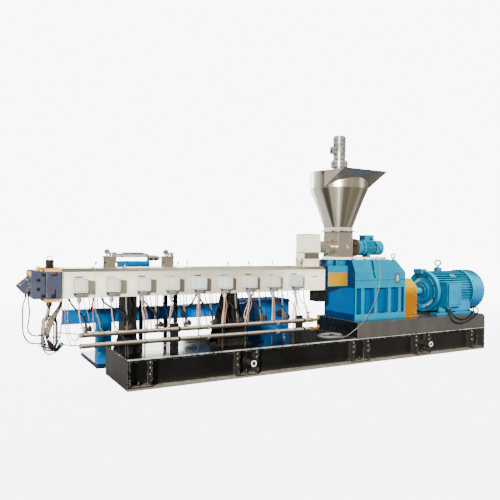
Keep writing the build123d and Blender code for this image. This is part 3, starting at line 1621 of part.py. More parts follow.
# The die's heater leads hang from the head and the plug and end in a tied hank
hank_x = die_plug_x + hank_offset
hank_left = hank_x - hank_width / 2 - seat
hank_top = hank_bottom + hank_height + seat
with BuildPart() as die_leads:
    for name, (place, length), route, entry in (
        ("outer die lead", ferrule_outer, outer_lead_route, outer_lead_entry),
        ("inner die lead", ferrule_inner, inner_lead_route, inner_lead_entry),
    ):
        ferrule_x = die_body_left + place
        ferrule_end = head_root.Y + place * head_along.Y / head_along.X - length
        cord_tube(
            name,
            [
                (ferrule_x, die_fitting_y, ferrule_end), (ferrule_x, die_fitting_y, ferrule_end - lead_first_run),
                *[(x, die_fitting_y, z) for x, z in route],
                (hank_left - lead_first_run, die_fitting_y, entry), (hank_left, die_fitting_y, entry),
            ],
            die_lead_radius,
        )
    plug_end = die_plug_top - die_plug_length
    plug_run = (plug_end - hank_top) * 0.3
    cord_tube(
        "plug lead",
        [
            (die_plug_x, die_fitting_y, plug_end), (die_plug_x, die_fitting_y, plug_end - plug_run),
            (hank_x, die_fitting_y, hank_top + plug_run), (hank_x, die_fitting_y, hank_top),
        ],
        die_lead_radius,
    )
die_leads.part.label = "die_leads"
export_step(die_leads.part, "parts/die_leads.step")

with BuildPart() as die_hank:
    with BuildSketch(Plane.XZ.offset(-die_fitting_y - hank_depth / 2)) as hank_outline:
        with Locations((hank_x, hank_bottom + hank_height / 2)):
            SlotOverall(hank_height, hank_width, rotation=90)
            SlotOverall(hank_height - 2 * hank_rope, hank_width - 2 * hank_rope, rotation=90, mode=Mode.SUBTRACT)
    extrude(hank_outline.sketch, amount=hank_depth)
    fillet(die_hank.edges(), radius=hank_rope / 4)
die_hank.part.label = "die_hank"
export_step(die_hank.part, "parts/die_hank.step")
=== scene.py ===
import json
import random
from itertools import product
from math import cos, pi, radians, sin

import bmesh
import bpy
from mathutils import Matrix, Vector
from mathutils.bvhtree import BVHTree


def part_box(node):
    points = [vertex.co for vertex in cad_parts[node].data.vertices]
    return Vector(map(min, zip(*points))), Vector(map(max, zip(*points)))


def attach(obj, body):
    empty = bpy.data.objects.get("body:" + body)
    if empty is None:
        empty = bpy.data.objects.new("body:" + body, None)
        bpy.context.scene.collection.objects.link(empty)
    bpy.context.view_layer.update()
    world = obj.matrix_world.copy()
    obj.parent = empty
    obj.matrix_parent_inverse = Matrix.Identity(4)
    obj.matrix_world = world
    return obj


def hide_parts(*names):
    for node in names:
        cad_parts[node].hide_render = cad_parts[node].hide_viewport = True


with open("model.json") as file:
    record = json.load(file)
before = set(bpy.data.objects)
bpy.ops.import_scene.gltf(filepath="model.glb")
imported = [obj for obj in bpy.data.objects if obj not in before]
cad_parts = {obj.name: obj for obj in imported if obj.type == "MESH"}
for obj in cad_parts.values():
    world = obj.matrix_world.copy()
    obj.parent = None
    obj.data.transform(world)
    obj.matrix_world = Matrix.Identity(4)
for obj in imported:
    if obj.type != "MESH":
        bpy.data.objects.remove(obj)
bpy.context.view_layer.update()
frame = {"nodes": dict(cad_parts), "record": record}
nodes = frame["nodes"]

# Camera of the photograph, in metres and degrees, fitted to the machine's straight edges
CAMERA_PLACE = (-4.6755, -6.177, 1.5927)
CAMERA_TURN = 29.4402
CAMERA_PITCH = -0.2692
CAMERA_ROLL = 0.7771
CAMERA_LENS = 38.529
SENSOR_WIDTH = 36.0

# Places taken from the frame, in metres
ZONE = 0.35
JOINTS = [-3.610 + ZONE * n for n in range(11)]
BOXES = [-3.442 + ZONE * n for n in range(9)]
STATIONS = (-2.820, -1.450, 0.367, 1.578, 2.820)
TUBE_Y = -0.320
TUBE_LOW = 0.511
TUBE_HIGH = 0.628
BEHIND_TUBE = -0.287
COVER_SIDE = 0.220
COVER_TOP = 1.340
BOX_Z = 1.161
HOOD_Y = -0.269
VENTS = (-3.068, -2.368)
TANK_Y = 0.740
TANK_Z = 1.434
HOPPER_X = 0.285
FEEDER_Z = 1.613
MOTOR_Z = 0.925

SIDES = (-1, 1)
ALONG = (1, 0, 0)
ACROSS = (0, 1, 0)
UP = (0, 0, 1)
DOWN = (0, 0, -1)


def linear(red, green, blue, alpha=1.0):
    """A colour given as it looks on a screen, 0 to 255, as the renderer wants it."""
    values = []
    for value in (red, green, blue):
        share = value / 255
        values.append(share / 12.92 if share <= 0.04045 else ((share + 0.055) / 1.055) ** 2.4)
    return (*values, alpha)


# The camera


def make_camera():
    turn = radians(CAMERA_TURN)
    pitch = radians(CAMERA_PITCH)
    roll = radians(CAMERA_ROLL)
    forward = Vector((sin(turn) * cos(pitch), cos(turn) * cos(pitch), sin(pitch)))
    right = Vector((cos(turn), -sin(turn), 0))
    up = right.cross(forward)
    rolled_right = right * cos(roll) + up * sin(roll)
    rolled_up = up * cos(roll) - right * sin(roll)
    data = bpy.data.cameras.new("photo_camera")
    data.lens = CAMERA_LENS
    data.sensor_width = SENSOR_WIDTH
    data.clip_end = 200
    camera = bpy.data.objects.new("photo_camera", data)
    bpy.context.scene.collection.objects.link(camera)
    basis = Matrix((rolled_right, rolled_up, -forward)).transposed().to_4x4()
    camera.matrix_world = Matrix.Translation(CAMERA_PLACE) @ basis
    bpy.context.scene.camera = camera


make_camera()

# Materials


class Graph:
    """Builds one procedural material from shader nodes."""

    def __init__(self, name):
        self.material = bpy.data.materials.new(name)
        self.material.use_nodes = True
        self.tree = self.material.node_tree
        self.shader = self.tree.nodes["Principled BSDF"]
        self.coords = self.add("TexCoord").outputs["Object"]
        self.normal = self.add("NewGeometry").outputs["Normal"]
        self.x, self.y, self.z = self.split(self.coords)
        self.face_x, self.face_y, self.face_z = self.split(self.normal)

    def add(self, kind):
        return self.tree.nodes.new("ShaderNode" + kind)

    def split(self, vector):
        node = self.add("SeparateXYZ")
        self.put(node.inputs[0], vector)
        return node.outputs

    def put(self, socket, value):
        if isinstance(value, bpy.types.NodeSocket):
            self.tree.links.new(value, socket)
        else:
            socket.default_value = value

    def math(self, kind, first, second=0.0):
        node = self.add("Math")
        node.operation = kind
        self.put(node.inputs[0], first)
        self.put(node.inputs[1], second)
        return node.outputs[0]

    def times(self, result, *others):
        for other in others:
            result = self.math("MULTIPLY", result, other)
        return result

    def absolute(self, value):
        return self.math("ABSOLUTE", value)

    def mix(self, share, first, second):
        node = self.add("Mix")
        node.data_type = "RGBA"
        self.put(node.inputs[0], share)
        self.put(node.inputs[6], first)
        self.put(node.inputs[7], second)
        return node.outputs[2]

    def tone(self, shade, share, *colour):
        """The shade with a share of a screen colour in it."""
        return self.mix(share, shade, linear(*colour))

    def noise(self, scale, stretch=(1, 1, 1), detail=3.0, offset=0.0):
        mapping = self.add("Mapping")
        mapping.inputs["Scale"].default_value = stretch
        mapping.inputs["Location"].default_value = (offset, offset * 0.7, offset * 1.3)
        self.put(mapping.inputs[0], self.coords)
        node = self.add("TexNoise")
        node.inputs["Scale"].default_value = scale
        node.inputs["Detail"].default_value = detail
        self.put(node.inputs["Vector"], mapping.outputs[0])
        return node.outputs[0]

    def ease(self, value, low, high, out_low=0.0, out_high=1.0):
        node = self.add("MapRange")
        node.interpolation_type = "SMOOTHSTEP"
        for socket, number in zip(node.inputs[1:5], (low, high, out_low, out_high)):
            socket.default_value = number
        self.put(node.inputs[0], value)
        return node.outputs[0]

    def occlusion(self, reach):
        node = self.add("AmbientOcclusion")
        node.samples = 6
        node.inputs["Distance"].default_value = reach
        return node.outputs["AO"]

    def edges(self, reach):
        """1 on edges and corners within reach, 0 on flat faces."""
        bevel = self.add("Bevel")
        bevel.samples = 6
        bevel.inputs["Radius"].default_value = reach
        dot = self.add("VectorMath")
        dot.operation = "DOT_PRODUCT"
        self.put(dot.inputs[0], bevel.outputs[0])
        self.put(dot.inputs[1], self.normal)
        return self.ease(dot.outputs["Value"], 0.999, 0.93)


LOOKS = {}
PAINT = {"rough": 0.28, "spread": 0.1}


def look(
    name, colour, second, metal=0.0, rough=0.45, spread=0.15, patch=4.0, grain=40.0, stretch=(1, 1, 1),
    grain_share=0.25, bump=0.1, wear=None, wear_reach=0.004, wear_share=0.6, grime_and_shade=(34, 30, 26),
    grime_and_shade_share=0.45, grime_and_shade_reach=0.06, dust_and_sheen=None, dust_and_sheen_share=0.35, tint=None, glass=0.0, shine=0.5,
    shine_colour=None,
):
    """A finish with patches, grain, worn edges, dirt and painted shade in corners, and a dusting and painted
    sheen on top faces.
    """
    g = Graph(name)
    base = linear(*colour)
    patches = g.ease(g.noise(patch, detail=4.0), 0.35, 0.68)
    shade = g.mix(patches, base, linear(*second))
    fine = g.noise(grain, stretch, detail=5.0, offset=3.1)
    dark = [value * (1 - grain_share) for value in base[:3]]
    shade = g.mix(g.ease(fine, 0.45, 0.75, 0.0, 0.55), shade, (*dark, 1))
    if tint:
        shade = tint(g, shade)
    # Faces turned up lighten: a dusting on most finishes, a painted sheen on the navy paint.
    if dust_and_sheen:
        cloud = g.ease(g.noise(9.0, detail=6.0, offset=7.7), 0.38, 0.7)
        shade = g.tone(shade, g.times(g.ease(g.face_z, 0.6, 0.95), cloud, dust_and_sheen_share), *dust_and_sheen)
    # Occlusion darkens corners and recesses: painted shade, with dirt where the colour is brown.
    if grime_and_shade_share:
        grime_and_shade_mask = g.ease(g.occlusion(grime_and_shade_reach), 0.35, 0.95, grime_and_shade_share, 0.0)
        shade = g.tone(shade, grime_and_shade_mask, *grime_and_shade)
    if wear:
        rubbed = g.ease(g.noise(22.0, detail=6.0, offset=1.7), 0.42, 0.6)
        shade = g.tone(shade, g.times(g.edges(wear_reach), rubbed, wear_share), *wear)
    g.put(g.shader.inputs["Base Color"], shade)
    gloss = g.times(g.math("SUBTRACT", fine, 0.5), spread * 1.5)
    broad = g.times(g.math("SUBTRACT", patches, 0.5), spread)
    total = g.math("ADD", g.math("ADD", gloss, broad), rough)
    total.node.use_clamp = True
    g.put(g.shader.inputs["Roughness"], total)
    g.shader.inputs["Metallic"].default_value = metal
    g.shader.inputs["Specular IOR Level"].default_value = shine
    if shine_colour:
        g.shader.inputs["Specular Tint"].default_value = linear(*shine_colour)
    if glass:
        g.shader.inputs["Transmission Weight"].default_value = glass
        g.shader.inputs["IOR"].default_value = 1.45
    relief = g.add("Bump")
    relief.inputs["Strength"].default_value = bump
    relief.inputs["Distance"].default_value = 0.001
    g.put(relief.inputs["Height"], fine)
    g.put(g.shader.inputs["Normal"], relief.outputs[0])
    LOOKS[name] = g.material


def cover_tint(g, shade):
    """Painted shade darkens the slopes and the middle of the row, which is duller than its ends; the fronts
    also darken towards the top, and drips streak them.
    """
    # Painted shade on the slopes.
    slope_shade = g.times(g.ease(g.face_z, 0.25, 0.6), g.ease(g.face_z, 0.97, 0.86, 0.7, 1.0), 0.97)
    shade = g.tone(shade, slope_shade, 52, 49, 43)
    # Painted shade in the middle of the row.
    middle = g.times(g.ease(g.x, -3.35, -1.9), g.ease(g.x, -0.25, -1.3), 0.78)
    shade = g.tone(shade, middle, 142, 134, 116)
    shade = g.tone(shade, g.ease(g.z, 1.19, 1.30, 0.0, 0.16), 140, 134, 120)
    drips = g.ease(g.noise(14.0, (1, 1, 0.12), 4.0, 5.0), 0.5, 0.8, 0.0, 0.35)
    return g.tone(shade, drips, 160, 152, 136)


def hopper_painted_reflections(g, shade):
    """Painted reflections: broad upright bands, as polished sheet mirrors a workshop, a lighter collar, and a
    painted highlight on the bottom flange.
    """
    turn = g.math("ARCTAN2", g.y, g.math("SUBTRACT", g.x, HOPPER_X))
    # Painted reflections in upright bands round the hopper.
    for centre, half, share, colour in (
        (-3.08, 0.14, 0.70, (206, 208, 212)), (-2.72, 0.28, 0.93, (48, 46, 46)),
        (-2.44, 0.12, 0.70, (140, 134, 112)), (-2.24, 0.06, 0.95, (252, 248, 236)),
        (-1.97, 0.26, 0.90, (72, 68, 52)), (-1.62, 0.36, 0.85, (88, 84, 64)),
        (-1.15, 0.28, 0.80, (96, 91, 72)), (-0.80, 0.11, 0.70, (186, 182, 164)),
        (-0.25, 0.14, 0.60, (190, 184, 168)), (0.50, 0.20, 0.60, (84, 80, 72)),
        (1.30, 0.16, 0.70, (236, 232, 222)), (2.20, 0.25, 0.60, (104, 98, 88)),
    ):
        gap = g.absolute(g.math("SUBTRACT", turn, centre))
        shade = g.tone(shade, g.ease(gap, half, half * 0.25, 0.0, share), *colour)
    collar = g.times(g.ease(g.z, 2.455, 2.475), g.ease(g.z, 2.66, 2.60), 0.2)
    shade = g.tone(shade, collar, 196, 186, 160)
    # Painted highlight on the bottom flange.
    flange = g.times(g.ease(g.z, 1.848, 1.856), g.ease(g.z, 1.904, 1.896), 0.85)
    return g.tone(shade, flange, 240, 238, 230)


def drive_light_and_shade(g, shade):
    """Painted light and shade: bright where the casing faces up, deep blue painted shade on its ends and in
    its pockets.
    """
    # Painted light on faces turned up, painted shade on the ends.
    shade = g.tone(shade, g.ease(g.face_z, 0.4, 0.8, 0.0, 0.6), 10, 150, 180)
    shade = g.tone(shade, g.ease(g.absolute(g.face_x), 0.45, 0.85), 0, 26, 58)
    # Painted shade in the pockets.
    inside = g.ease(g.absolute(g.y), 0.334, 0.322)
    pocket_shade = g.times(inside, g.ease(g.z, 1.04, 1.03), g.ease(g.z, 0.66, 0.67), 0.9)
    return g.tone(shade, pocket_shade, 0, 62, 108)


def motor_light_and_shade(g, shade):
    """Painted light and shade: the frame's fins are darker low down and to the side, lighter on top, and
    darker on top near the cowl.
    """
    # Painted light and shade by which way each face turns.
    shade = g.tone(shade, g.ease(g.face_z, -0.05, -0.7, 0.0, 0.75), 0, 50, 96)
    shade = g.tone(shade, g.ease(g.face_z, 0.1, 0.8, 0.0, 0.6), 20, 168, 188)
    crest_shade = g.times(g.ease(g.x, 2.86, 2.98), g.ease(g.face_z, 0.45, 0.9), 0.8)
    shade = g.tone(shade, crest_shade, 0, 66, 120)
    return g.tone(shade, g.ease(g.absolute(g.face_x), 0.5, 0.9, 0.0, 0.75), 0, 30, 48)


def guard_shade_tint(g, shade):
    """Yellow on its crown; painted shade turns the lower flat front dark orange."""
    low = g.times(g.ease(g.z, 1.10, 0.88, 0.0, 0.92), g.ease(g.absolute(g.face_y), 0.8, 0.95))
    return g.tone(shade, low, 114, 64, 0)


def trunnion_tint(g, shade):
    """The cut ends are bright."""
    return g.tone(shade, g.ease(g.absolute(g.y), 0.5955, 0.599), 206, 204, 198)


def beam_painted_shade(g, shade):
    """Painted shade on the cooling beam: darker at its lit left end, and a painted shadow along its top."""
    shade = g.tone(shade, g.ease(g.x, -2.70, -2.98), 0, 74, 124)
    return g.tone(shade, g.ease(g.z, 0.70, 0.77, 0.0, 0.5), 0, 50, 104)


def cabinet_shadow_and_reflections(g, shade):
    """Painted shadow darkens it towards the top, with pale clouds of painted reflected light."""
    shade = g.tone(shade, g.ease(g.z, 0.66, 0.79, 0.0, 0.6), 0, 56, 116)
    glow = g.ease(g.noise(2.2, detail=2.0, offset=9.0), 0.5, 0.7, 0.0, 0.4)
    return g.tone(shade, glow, 20, 150, 230)


def slate_tint(g, shade):
    """Heat-tinted steel with a faint warm painted reflection, and painted light that makes the faces to the
    left lighter.
    """
    warm = g.ease(g.noise(6.0, (1, 1, 0.5), 2.0, 2.0), 0.55, 0.75, 0.0, 0.3)
    shade = g.tone(shade, warm, 84, 54, 52)
    # Painted light on faces to the left.
    return g.tone(shade, g.ease(g.face_x, -0.55, -0.9, 0.0, 0.8), 92, 95, 110)


def web_tint(g, shade):
    """Paint of the beams: dusty low, pale on the low ledges that face up and along the bottom rims, painted
    lighter on faces to the left, lighter towards the motor end, and painted shade under the deck.
    """
    shade = g.tone(shade, g.ease(g.z, 0.0, 0.10, 0.30, 0.0), 34, 31, 27)
    # Painted light on faces to the left.
    shade = g.tone(shade, g.ease(g.face_x, -0.5, -0.9, 0.0, 0.8), 34, 33, 30)
    shade = g.tone(shade, g.ease(g.x, -1.5, 2.8, 0.0, 0.4), 28, 27, 24)
    ledge_mottle = g.ease(g.noise(3.0, (1, 4, 1), 5.0, 4.4), 0.30, 0.55, 0.55, 0.95)
    ledge = g.times(g.ease(g.face_z, 0.7, 0.95), g.ease(g.z, 0.05, 0.03))
    shade = g.tone(shade, g.times(ledge, ledge_mottle), 176, 170, 152)
    rim = g.times(g.ease(g.absolute(g.y), 0.462, 0.468), g.ease(g.z, 0.03, 0.02), 0.75)
    shade = g.tone(shade, rim, 112, 107, 96)
    # Painted shade under the deck.
    return g.tone(shade, g.ease(g.z, 0.27, 0.338, 0.0, 0.5), 10, 10, 9)


def deck_tint(g, shade):
    """The front and back edges of the deck are worn to pale primer."""
    torn = g.ease(g.noise(5.0, (1, 3, 1), 6.0, 2.2), 0.34, 0.56, 0.15, 0.9)
    return g.tone(shade, g.times(g.ease(g.absolute(g.y), 0.425, 0.462), torn), 156, 156, 150)


def tube_painted_reflections(g, shade):
    """Painted reflections: a bright painted highlight along the top, and brown below, as bare pipe mirrors a
    dark floor.
    """
    shade = g.tone(shade, g.ease(g.face_z, 0.5, -0.25, 0.0, 0.93), 44, 36, 26)
    line = g.ease(g.absolute(g.math("SUBTRACT", g.face_z, 0.62)), 0.2, 0.05, 0.0, 0.7)
    return g.tone(shade, line, 232, 226, 208)


def alloy_tint(g, shade):
    """Painted shade in dark rings between the stirrer motor's flanges, and darker streaks along its fins."""
    ring = g.ease(g.math("SINE", g.times(g.z, 92.0)), 0.55, 0.95, 0.0, 0.65)
    shade = g.tone(shade, ring, 48, 47, 44)
    side = g.ease(g.noise(30.0, (1, 1, 0.2), 3.0, 6.0), 0.5, 0.7, 0.0, 0.5)
    return g.tone(shade, side, 78, 76, 72)


def lead_tint(g, shade):
    """Below the water tubes the leads are coloured nearly black."""
    return g.tone(shade, g.ease(g.z, 0.66, 0.60, 0.0, 0.96), 9, 9, 8)


def box_painted_shade(g, shade):
    """Painted shade makes the boxes duller towards the feed end."""
    return g.tone(shade, g.ease(g.x, -3.3, -0.6, 0.0, 0.6), 142, 148, 140)


def hood_groove_shade(g, shade):
    """Painted shade darkens the grooves between a hood's ribs."""
    groove = g.times(g.ease(g.z, 1.026, 1.032), g.ease(g.z, 1.090, 1.084), 0.85)
    return g.tone(shade, groove, 44, 44, 42)


def chute_painted_reflections(g, shade):
    """Painted reflections: the chute mirrors the dark room below, the blue drive in its middle and warm light
    at its tip.
    """
    shade = g.tone(shade, g.times(g.ease(g.face_z, 0.1, -0.35), 0.6), 92, 90, 84)
    middle = g.times(g.ease(g.x, 0.02, 0.20), g.ease(g.x, 0.52, 0.34))
    glow = g.times(g.times(g.ease(g.z, 2.56, 2.70), middle), 0.6)
    shade = g.tone(shade, glow, 64, 124, 152)
    return g.tone(shade, g.ease(g.x, 0.40, 0.62, 0.0, 0.5), 160, 138, 128)


def plinth_tint(g, shade):
    """Warmer towards the motor; painted shade makes the end that faces the barrel nearly black."""
    shade = g.tone(shade, g.ease(g.x, 0.3, 2.9, 0.0, 0.5), 50, 48, 46)
    # Painted shade on the end facing the barrel.
    return g.tone(shade, g.ease(g.face_x, -0.5, -0.9), 5, 5, 6)


def plate_tint(g, shade):
    """The bare plate turns orange towards the motor."""
    return g.tone(shade, g.ease(g.x, 0.1, 0.3, 0.0, 0.55), 140, 78, 0)


look(
    "base_paint", (5, 5, 5), (11, 10, 9), rough=0.26, spread=0.1, dust_and_sheen=(130, 124, 110), dust_and_sheen_share=0.8,
    wear=(150, 144, 134), wear_reach=0.005, wear_share=0.5, tint=web_tint, bump=0.15, shine=0.22,
)
look(
    "plinth", (52, 51, 48), (60, 58, 55), **PAINT, wear=(120, 112, 104), wear_reach=0.005, dust_and_sheen=(96, 90, 84),
    dust_and_sheen_share=0.4, tint=plinth_tint, bump=0.15, shine=0.3,
)
look(
    "deck_paint", (6, 6, 7), (12, 12, 13), rough=0.16, spread=0.12, grain_share=0.3, wear=(170, 170, 164),
    wear_reach=0.02, wear_share=0.7, dust_and_sheen=(40, 40, 40), dust_and_sheen_share=0.12, bump=0.06, shine=0.1, tint=deck_tint,
)
look(
    "pedestal_paint", (12, 14, 13), (20, 19, 17), rough=0.26, spread=0.1, wear=(80, 72, 62),
    dust_and_sheen=(120, 110, 94), dust_and_sheen_share=0.2, bump=0.15, shine=0.15,
)
look("barrel_steel", (96, 88, 82), (66, 58, 54), metal=0.8, rough=0.5, grain=60, bump=0.3)
look(
    "cover_steel", (242, 234, 212), (230, 221, 198), metal=0.1, rough=0.34, grain=26, stretch=(1, 1, 14),
    grain_share=0.14, spread=0.14, grime_and_shade_share=0.3, grime_and_shade_reach=0.03, wear=(246, 244, 236), wear_reach=0.003,
    wear_share=0.5, tint=cover_tint, bump=0.06, shine=0.35,
)
look(
    "box_grey", (200, 208, 199), (186, 194, 185), rough=0.42, grain=220, grain_share=0.12, grime_and_shade_share=0.4,
    grime_and_shade_reach=0.02, wear=(240, 244, 236), wear_reach=0.003, bump=0.12, shine=0.35, tint=box_painted_shade,
)
CASTING = {"metal": 0.3, "rough": 0.42, "grain": 200, "bump": 0.2, "grime_and_shade_share": 0.7, "grime_and_shade_reach": 0.02}
look("plug_grey", (170, 176, 168), (132, 136, 128), **CASTING)
look("hood", (170, 176, 168), (132, 136, 128), **CASTING, tint=hood_groove_shade)
look(
    "die_slate", (57, 63, 78), (67, 69, 82), metal=0.15, rough=0.3, grain=30, stretch=(1, 1, 6),
    wear=(150, 160, 176), wear_reach=0.003, tint=slate_tint, bump=0.06, shine=0.3,
)
look(
    "die_tan", (206, 152, 82), (176, 118, 58), rough=0.75, grain=120, bump=0.5, grime_and_shade_share=0.5,
    wear=(232, 204, 156), shine=0.2,
)
look(
    "black_plastic", (10, 10, 11), (18, 18, 20), rough=0.5, grain=300, bump=0.2, wear=(70, 70, 70),
    wear_reach=0.002, shine=0.35,
)
look(
    "knob_yellow", (214, 180, 0), (200, 160, 0), rough=0.28, grain=150, bump=0.05, grime_and_shade_share=0.25,
    shine_colour=(255, 230, 120),
)
look(
    "hopper_steel", (164, 154, 136), (138, 128, 110), metal=0.75, rough=0.3, grain=22, stretch=(1, 1, 8),
    grain_share=0.2, spread=0.16, grime_and_shade_share=0.4, grime_and_shade_reach=0.05, wear=(236, 232, 220), wear_reach=0.003,
    bump=0.06,
)
look(
    "vent_sheet", (126, 117, 98), (104, 95, 78), metal=0.4, rough=0.36, grain=30, stretch=(1, 1, 6),
    grain_share=0.2, grime_and_shade_share=0.5, grime_and_shade_reach=0.03, wear=(200, 194, 178), wear_reach=0.003, bump=0.08,
    shine=0.35,
)
look(
    "hopper_bands", (198, 190, 172), (182, 172, 154), metal=0.7, rough=0.3, grain=22, stretch=(1, 1, 8),
    grain_share=0.16, spread=0.12, grime_and_shade_share=0.3, grime_and_shade_reach=0.04, tint=hopper_painted_reflections, bump=0.05,
)
look(
    "tube_steel", (176, 168, 152), (140, 128, 110), metal=0.6, rough=0.34, grain=14, stretch=(0.6, 8, 8),
    grime_and_shade=(60, 44, 30), grime_and_shade_share=0.5, bump=0.08, tint=tube_painted_reflections,
)
look("fitting_brass", (206, 160, 70), (160, 116, 50), metal=0.85, rough=0.32, grain=80)
# The lighter blue on the navy paint's top faces is a painted sheen.
look(
    "navy_paint", (2, 12, 30), (6, 20, 44), **PAINT, wear=(70, 90, 112), dust_and_sheen=(40, 62, 96), dust_and_sheen_share=0.12,
    bump=0.15, shine=0.35, shine_colour=(120, 170, 230),
)
look(
    "blue_paint", (0, 80, 126), (0, 70, 112), **PAINT, wear=(90, 160, 200), wear_share=0.35,
    grime_and_shade=(0, 20, 46), grime_and_shade_share=0.6, shine=0.3, shine_colour=(90, 180, 255),
)
look(
    "drive_blue", (0, 108, 134), (0, 98, 128), rough=0.26, spread=0.1, wear=(30, 140, 160), wear_share=0.4,
    grime_and_shade=(0, 26, 54), grime_and_shade_share=0.6, tint=drive_light_and_shade, bump=0.12, shine=0.3, shine_colour=(60, 200, 235),
)
look(
    "motor_blue", (12, 110, 146), (6, 100, 138), **PAINT, wear=(50, 170, 206), wear_share=0.4,
    grime_and_shade=(0, 16, 30), grime_and_shade_share=0.8, grime_and_shade_reach=0.05, tint=motor_light_and_shade, bump=0.15, shine=0.3,
    shine_colour=(70, 190, 235),
)
look(
    "guard_yellow", (178, 148, 0), (168, 132, 0), **PAINT, wear=(255, 224, 110), wear_share=0.4,
    grime_and_shade=(90, 40, 0), grime_and_shade_share=0.5, tint=guard_shade_tint, shine=0.3, shine_colour=(255, 210, 90),
)
look(
    "clear", (226, 244, 246), (206, 236, 242), rough=0.06, spread=0.04, grime_and_shade_share=0.0, grain_share=0.05,
    bump=0.02, glass=0.92,
)
look(
    "cast_brown", (64, 50, 38), (44, 35, 28), metal=0.2, rough=0.5, grain=160, bump=0.4,
    wear=(130, 104, 80), shine=0.3,
)
look(
    "cable_grey", (106, 104, 97), (88, 86, 79), rough=0.5, grain=200, grime_and_shade_share=0.4, grime_and_shade_reach=0.02,
    shine=0.3,
)
look("cable_black", (8, 8, 9), (14, 14, 15), rough=0.55, grain=200, grime_and_shade_share=0.2, shine=0.15)
look("trunnion", (40, 34, 30), (28, 24, 22), rough=0.28, tint=trunnion_tint, bump=0.2, shine=0.35)
look(
    "blue_beam", (0, 92, 166), (0, 70, 134), **PAINT, patch=7.0, grime_and_shade=(0, 26, 60), grime_and_shade_share=0.5,
    tint=beam_painted_shade, bump=0.12, shine=0.2, shine_colour=(40, 150, 255),
)
look(
    "cabinet", (0, 86, 150), (0, 72, 132), rough=0.26, spread=0.1, grime_and_shade=(0, 22, 46), grime_and_shade_share=0.6,
    tint=cabinet_shadow_and_reflections, bump=0.08, shine=0.4, shine_colour=(120, 190, 240),
)
SHEATH = {"rough": 0.5, "grain": 160, "grime_and_shade_share": 0.35, "grime_and_shade_reach": 0.02, "shine": 0.3}
look("beige_sheath", (168, 152, 124), (140, 124, 98), **SHEATH, tint=lead_tint)
look("salmon_sheath", (138, 86, 68), (110, 66, 52), **SHEATH)
look(
    "cyan_plug", (0, 130, 124), (0, 100, 98), rough=0.38, grain=160, bump=0.15, grime_and_shade_share=0.35, shine=0.35,
)
look(
    "zinc", (186, 182, 172), (150, 146, 136), metal=0.7, rough=0.32, grain=140, bump=0.15, grime_and_shade_share=0.5,
    grime_and_shade_reach=0.01,
)
look("dark_steel", (30, 29, 28), (20, 19, 18), metal=0.4, rough=0.42, grain=140, bump=0.2)
look(
    "plate_yellow", (150, 118, 0), (140, 106, 0), **PAINT, grain=90, bump=0.05, grime_and_shade_share=0.25,
    wear=(190, 160, 60), wear_reach=0.003, shine=0.3, shine_colour=(255, 220, 120), tint=plate_tint,
)
look(
    "alloy", (128, 127, 122), (104, 102, 98), metal=0.35, rough=0.34, grain=60, bump=0.2, grime_and_shade_share=0.6,
    grime_and_shade_reach=0.04, wear=(210, 208, 200), tint=alloy_tint,
)
look(
    "chute", (148, 143, 134), (132, 126, 116), metal=0.5, rough=0.34, grain=18, stretch=(1, 1, 6),
    grain_share=0.16, spread=0.1, grime_and_shade_share=0.4, grime_and_shade_reach=0.05, wear=(220, 216, 204), wear_reach=0.003,
    tint=chute_painted_reflections, bump=0.04,
)
# A darker sheet for painted shade on the feed port's lower front.
look(
    "port_shade_sheet", (96, 91, 74), (80, 75, 60), metal=0.3, rough=0.34, grain=22, stretch=(1, 1, 8), bump=0.05,
)
look("label_red", (76, 46, 42), (60, 38, 36), rough=0.5, grain=160, bump=0.05, shine=0.2)
look(
    "bare_plate", (168, 170, 166), (150, 150, 144), metal=0.6, rough=0.35, grain=80, stretch=(8, 1, 1),
    bump=0.08,
)
look("water_glass", (170, 214, 226), (150, 200, 220), rough=0.1, grime_and_shade_share=0.1, bump=0.03, glass=0.5)

# Nodes that look unlike the rest of their slot
SPECIAL = {
    "drive_plinth": "plinth", "lifting_trunnions": "trunnion", "water_beam": "blue_beam",
    "water_cabinet": "cabinet", "hopper_shell": "hopper_bands", "zone_leads": "beige_sheath",
    "vent_ports": "vent_sheet", "plug_hoods": "hood", "stirrer_motor": "alloy", "loading_chute": "chute",
    "lifting_eyes": "motor_blue",
}
slot_of = {part["node"]: part["material_slot"] for part in frame["record"]["subparts"]}
for name, node in nodes.items():
    node.data.materials.clear()
    node.data.materials.append(LOOKS[SPECIAL.get(name, slot_of[name])])

# Making pieces


def lathe(bm, base, axis, profile, steps=20):
    """Turns a profile of (radius, distance along the axis) about the line through base."""
    base = Vector(base)
    axis = Vector(axis).normalized()
    side = axis.orthogonal().normalized()
    third = axis.cross(side)
    rings = []
    for radius, along in profile:
        centre = base + axis * along
        if radius < 1e-6:
            rings.append([bm.verts.new(centre)] * steps)
            continue
        ring = []
        for step in range(steps):
            angle = 2 * pi * step / steps
            ring.append(bm.verts.new(centre + (side * cos(angle) + third * sin(angle)) * radius))
        rings.append(ring)
    for low, high in zip(rings, rings[1:]):
        for step in range(steps):
            after = (step + 1) % steps
            corners = list(dict.fromkeys((low[step], low[after], high[after], high[step])))
            if len(corners) > 2:
                bm.faces.new(corners)


def turned(bm, base, axis, numbers, steps=20):
    """A lathe shape from one row of radii and distances in turn, in millimetres."""
    sizes = [number / 1000 for number in numbers]
    lathe(bm, base, axis, list(zip(sizes[::2], sizes[1::2])), steps)


def slab(bm, low, high, edge=0.003, steps=2):
    """A block between two corners, with rounded edges."""
    low, high = Vector(low), Vector(high)
    verts = bmesh.ops.create_cube(bm, size=1)["verts"]
    for vert in verts:
        vert.co = Vector([low[n] + (vert.co[n] + 0.5) * (high[n] - low[n]) for n in range(3)])
    round_edges(bm, (line for vert in verts for line in vert.link_edges), edge, steps)


